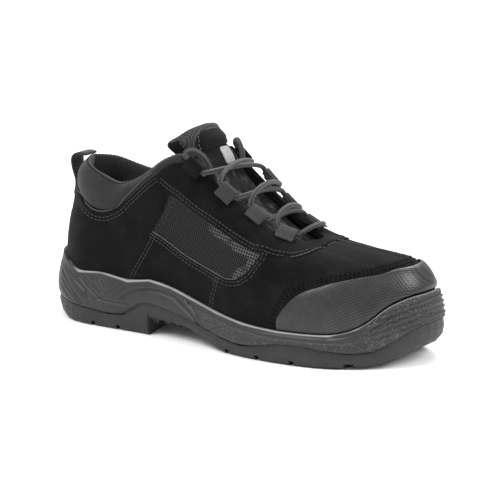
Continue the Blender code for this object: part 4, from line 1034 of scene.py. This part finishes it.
sideRows = {  # each row's seams, its two distances from them, and its thread
    "eyestay": (("eyestay",), (-1.9, -4.4), "thread"),
    "quarter": (("quarter",), (-1.9, -4.2), "thread"),
    "window": (("windowLow", "windowFront"), (1.9, 4.2), "thread"),
    "vamp": (("vamp",), (-1.9, -4.2), "thread"),
    "cap": (("cap",), (-1.2, -3.4), "darkThread"),
    "collar": (("collar",), (2.6, 4.8), "thread"),
}


def sewSides():
    for side, label in ((-1, "Lateral"), (1, "Medial")):
        for row, (names, offsets, thread) in sideRows.items():
            lines = [(onSide(seams[name], side), offset * side) for name in names for offset in offsets]
            rows = [rowOnSurface(points, offset, stitchPlan["pitch"]) for points, offset in lines]
            sewRows(row + "Stitch" + label, rows, thread, "suede")


sewSides()


def layPiping():
    # a thin bound edge under the collar and under the side window
    for side, label in ((-1, "Lateral"), (1, "Medial")):
        for name, offset in (("collar", -1.3), ("windowLow", 0.0)):
            path = [tuple(p + n * 0.15) for p, n, w in rowOnSurface(onSide(seams[name], side), offset * side, 1.6)]
            settle(sweep(name + "Piping" + label, path, 0.42, 6), "piping", "textile")


frontEdge = [(60.5, -31, 67.5), (64, -28.5, 68.2), (67.6, -23.6, 69.6), (70, -17.5, 71.4), (70.6, -6.9, 72.4),
    (71.1, 1.3, 73.2), (70.7, 12, 72.4), (70.6, 20, 71.2), (68.5, 29, 69.3), (61, 34.5, 67)]
frontFacing = (0.75, 0, 0.65)  # the way the tongue's front looks
patchEdge = [(-11.4, 116), (-12.8, 122), (-13.2, 128), (-11.6, 133.4), (-7.5, 136.6), (0.5, 137.6), (8.5, 136.6),
    (13.6, 133.4), (16.6, 128), (16.2, 122), (14.6, 116)]


layPiping()
openingEdge = [(-37.2, -25.4, 127), (-45.1, -26.4, 121.9), (-62.6, -27.9, 110), (-83, -27.4, 101),
    (-104.4, -24.5, 106.6), (-119, -15.8, 111.1), (-125.4, 0.7, 112.2), (-119, 17.2, 110), (-104.4, 25.9, 104.3),
    (-83, 28.8, 101), (-62.6, 29.3, 108.8), (-45.1, 27.8, 121.9), (-37.2, 26.8, 127)]
sewRows("collarRimStitch", [rowOnSurface(openingEdge, 0.0, 3.1)], "darkThread", "textile")
sewRows("eyestayFrontStitch", [rowOnSurface(frontEdge, 1.8, 3.1)], "paleThread", "suede")
onPatch = castOnto([(32 + (129 - z) * 0.75, y, z + 52) for y, z in patchEdge], [-v for v in frontFacing])
sewRows("patchStitch", [rowOnSurface(onPatch, 0.0, 2.8, frontFacing)], "paleThread", "suede")


def layLabel(settings):
    # a blank pale tape: a flat grid, its corners rounded, then laid on the front of the tongue
    cells, (width, height, corner) = settings["cells"], settings["size"]
    deselectAll()
    bpy.ops.mesh.primitive_grid_add(x_subdivisions=cells, y_subdivisions=cells, size=1, calc_uvs=False)
    piece = bpy.context.active_object
    piece.name = piece.data.name = "blankLabel"
    flat = coordinates(piece)[:, :2] * (width, height)
    over = np.maximum(0, np.abs(flat) + corner - (width / 2, height / 2))
    beyond = np.maximum(np.linalg.norm(over, axis=1) / corner, 1)[:, None]
    flat = np.sign(flat) * (np.abs(flat) - over + over / beyond)
    middle, up = outside.find_nearest(Vector(settings["centre"]) * mm)[:2]
    across = (Vector((0, 1, 0)) - up * up.y).normalized()
    along = up.cross(across)
    laid = [outside.find_nearest(middle + (across * u + along * v) * mm)[:2] for u, v in flat]
    moveVertices(piece, np.array([place + way * settings["lift"] * mm for place, way in laid]))
    piece.data.shade_smooth()
    thick = piece.modifiers.new("tapeThickness", "SOLIDIFY")
    thick.thickness, thick.offset = settings["thick"] * mm, 0.0
    applyModifiers(piece)
    settle(piece, "label", "textile")


layLabel({"size": (11.5, 13.0, 2.5), "centre": (-16.0, 9.5, 123.0), "cells": 8, "lift": 0.3, "thick": 0.7})
print("seams sewn")


# floor and end

def makeFloor(settings):
    deselectAll()
    bpy.ops.mesh.primitive_plane_add(size=settings["floorSize"], location=(0, 0, 0))
    floor = bpy.context.active_object
    floor.name = "paleFloor"
    floor.data.materials.append(materials["floor"])


makeFloor(studio)
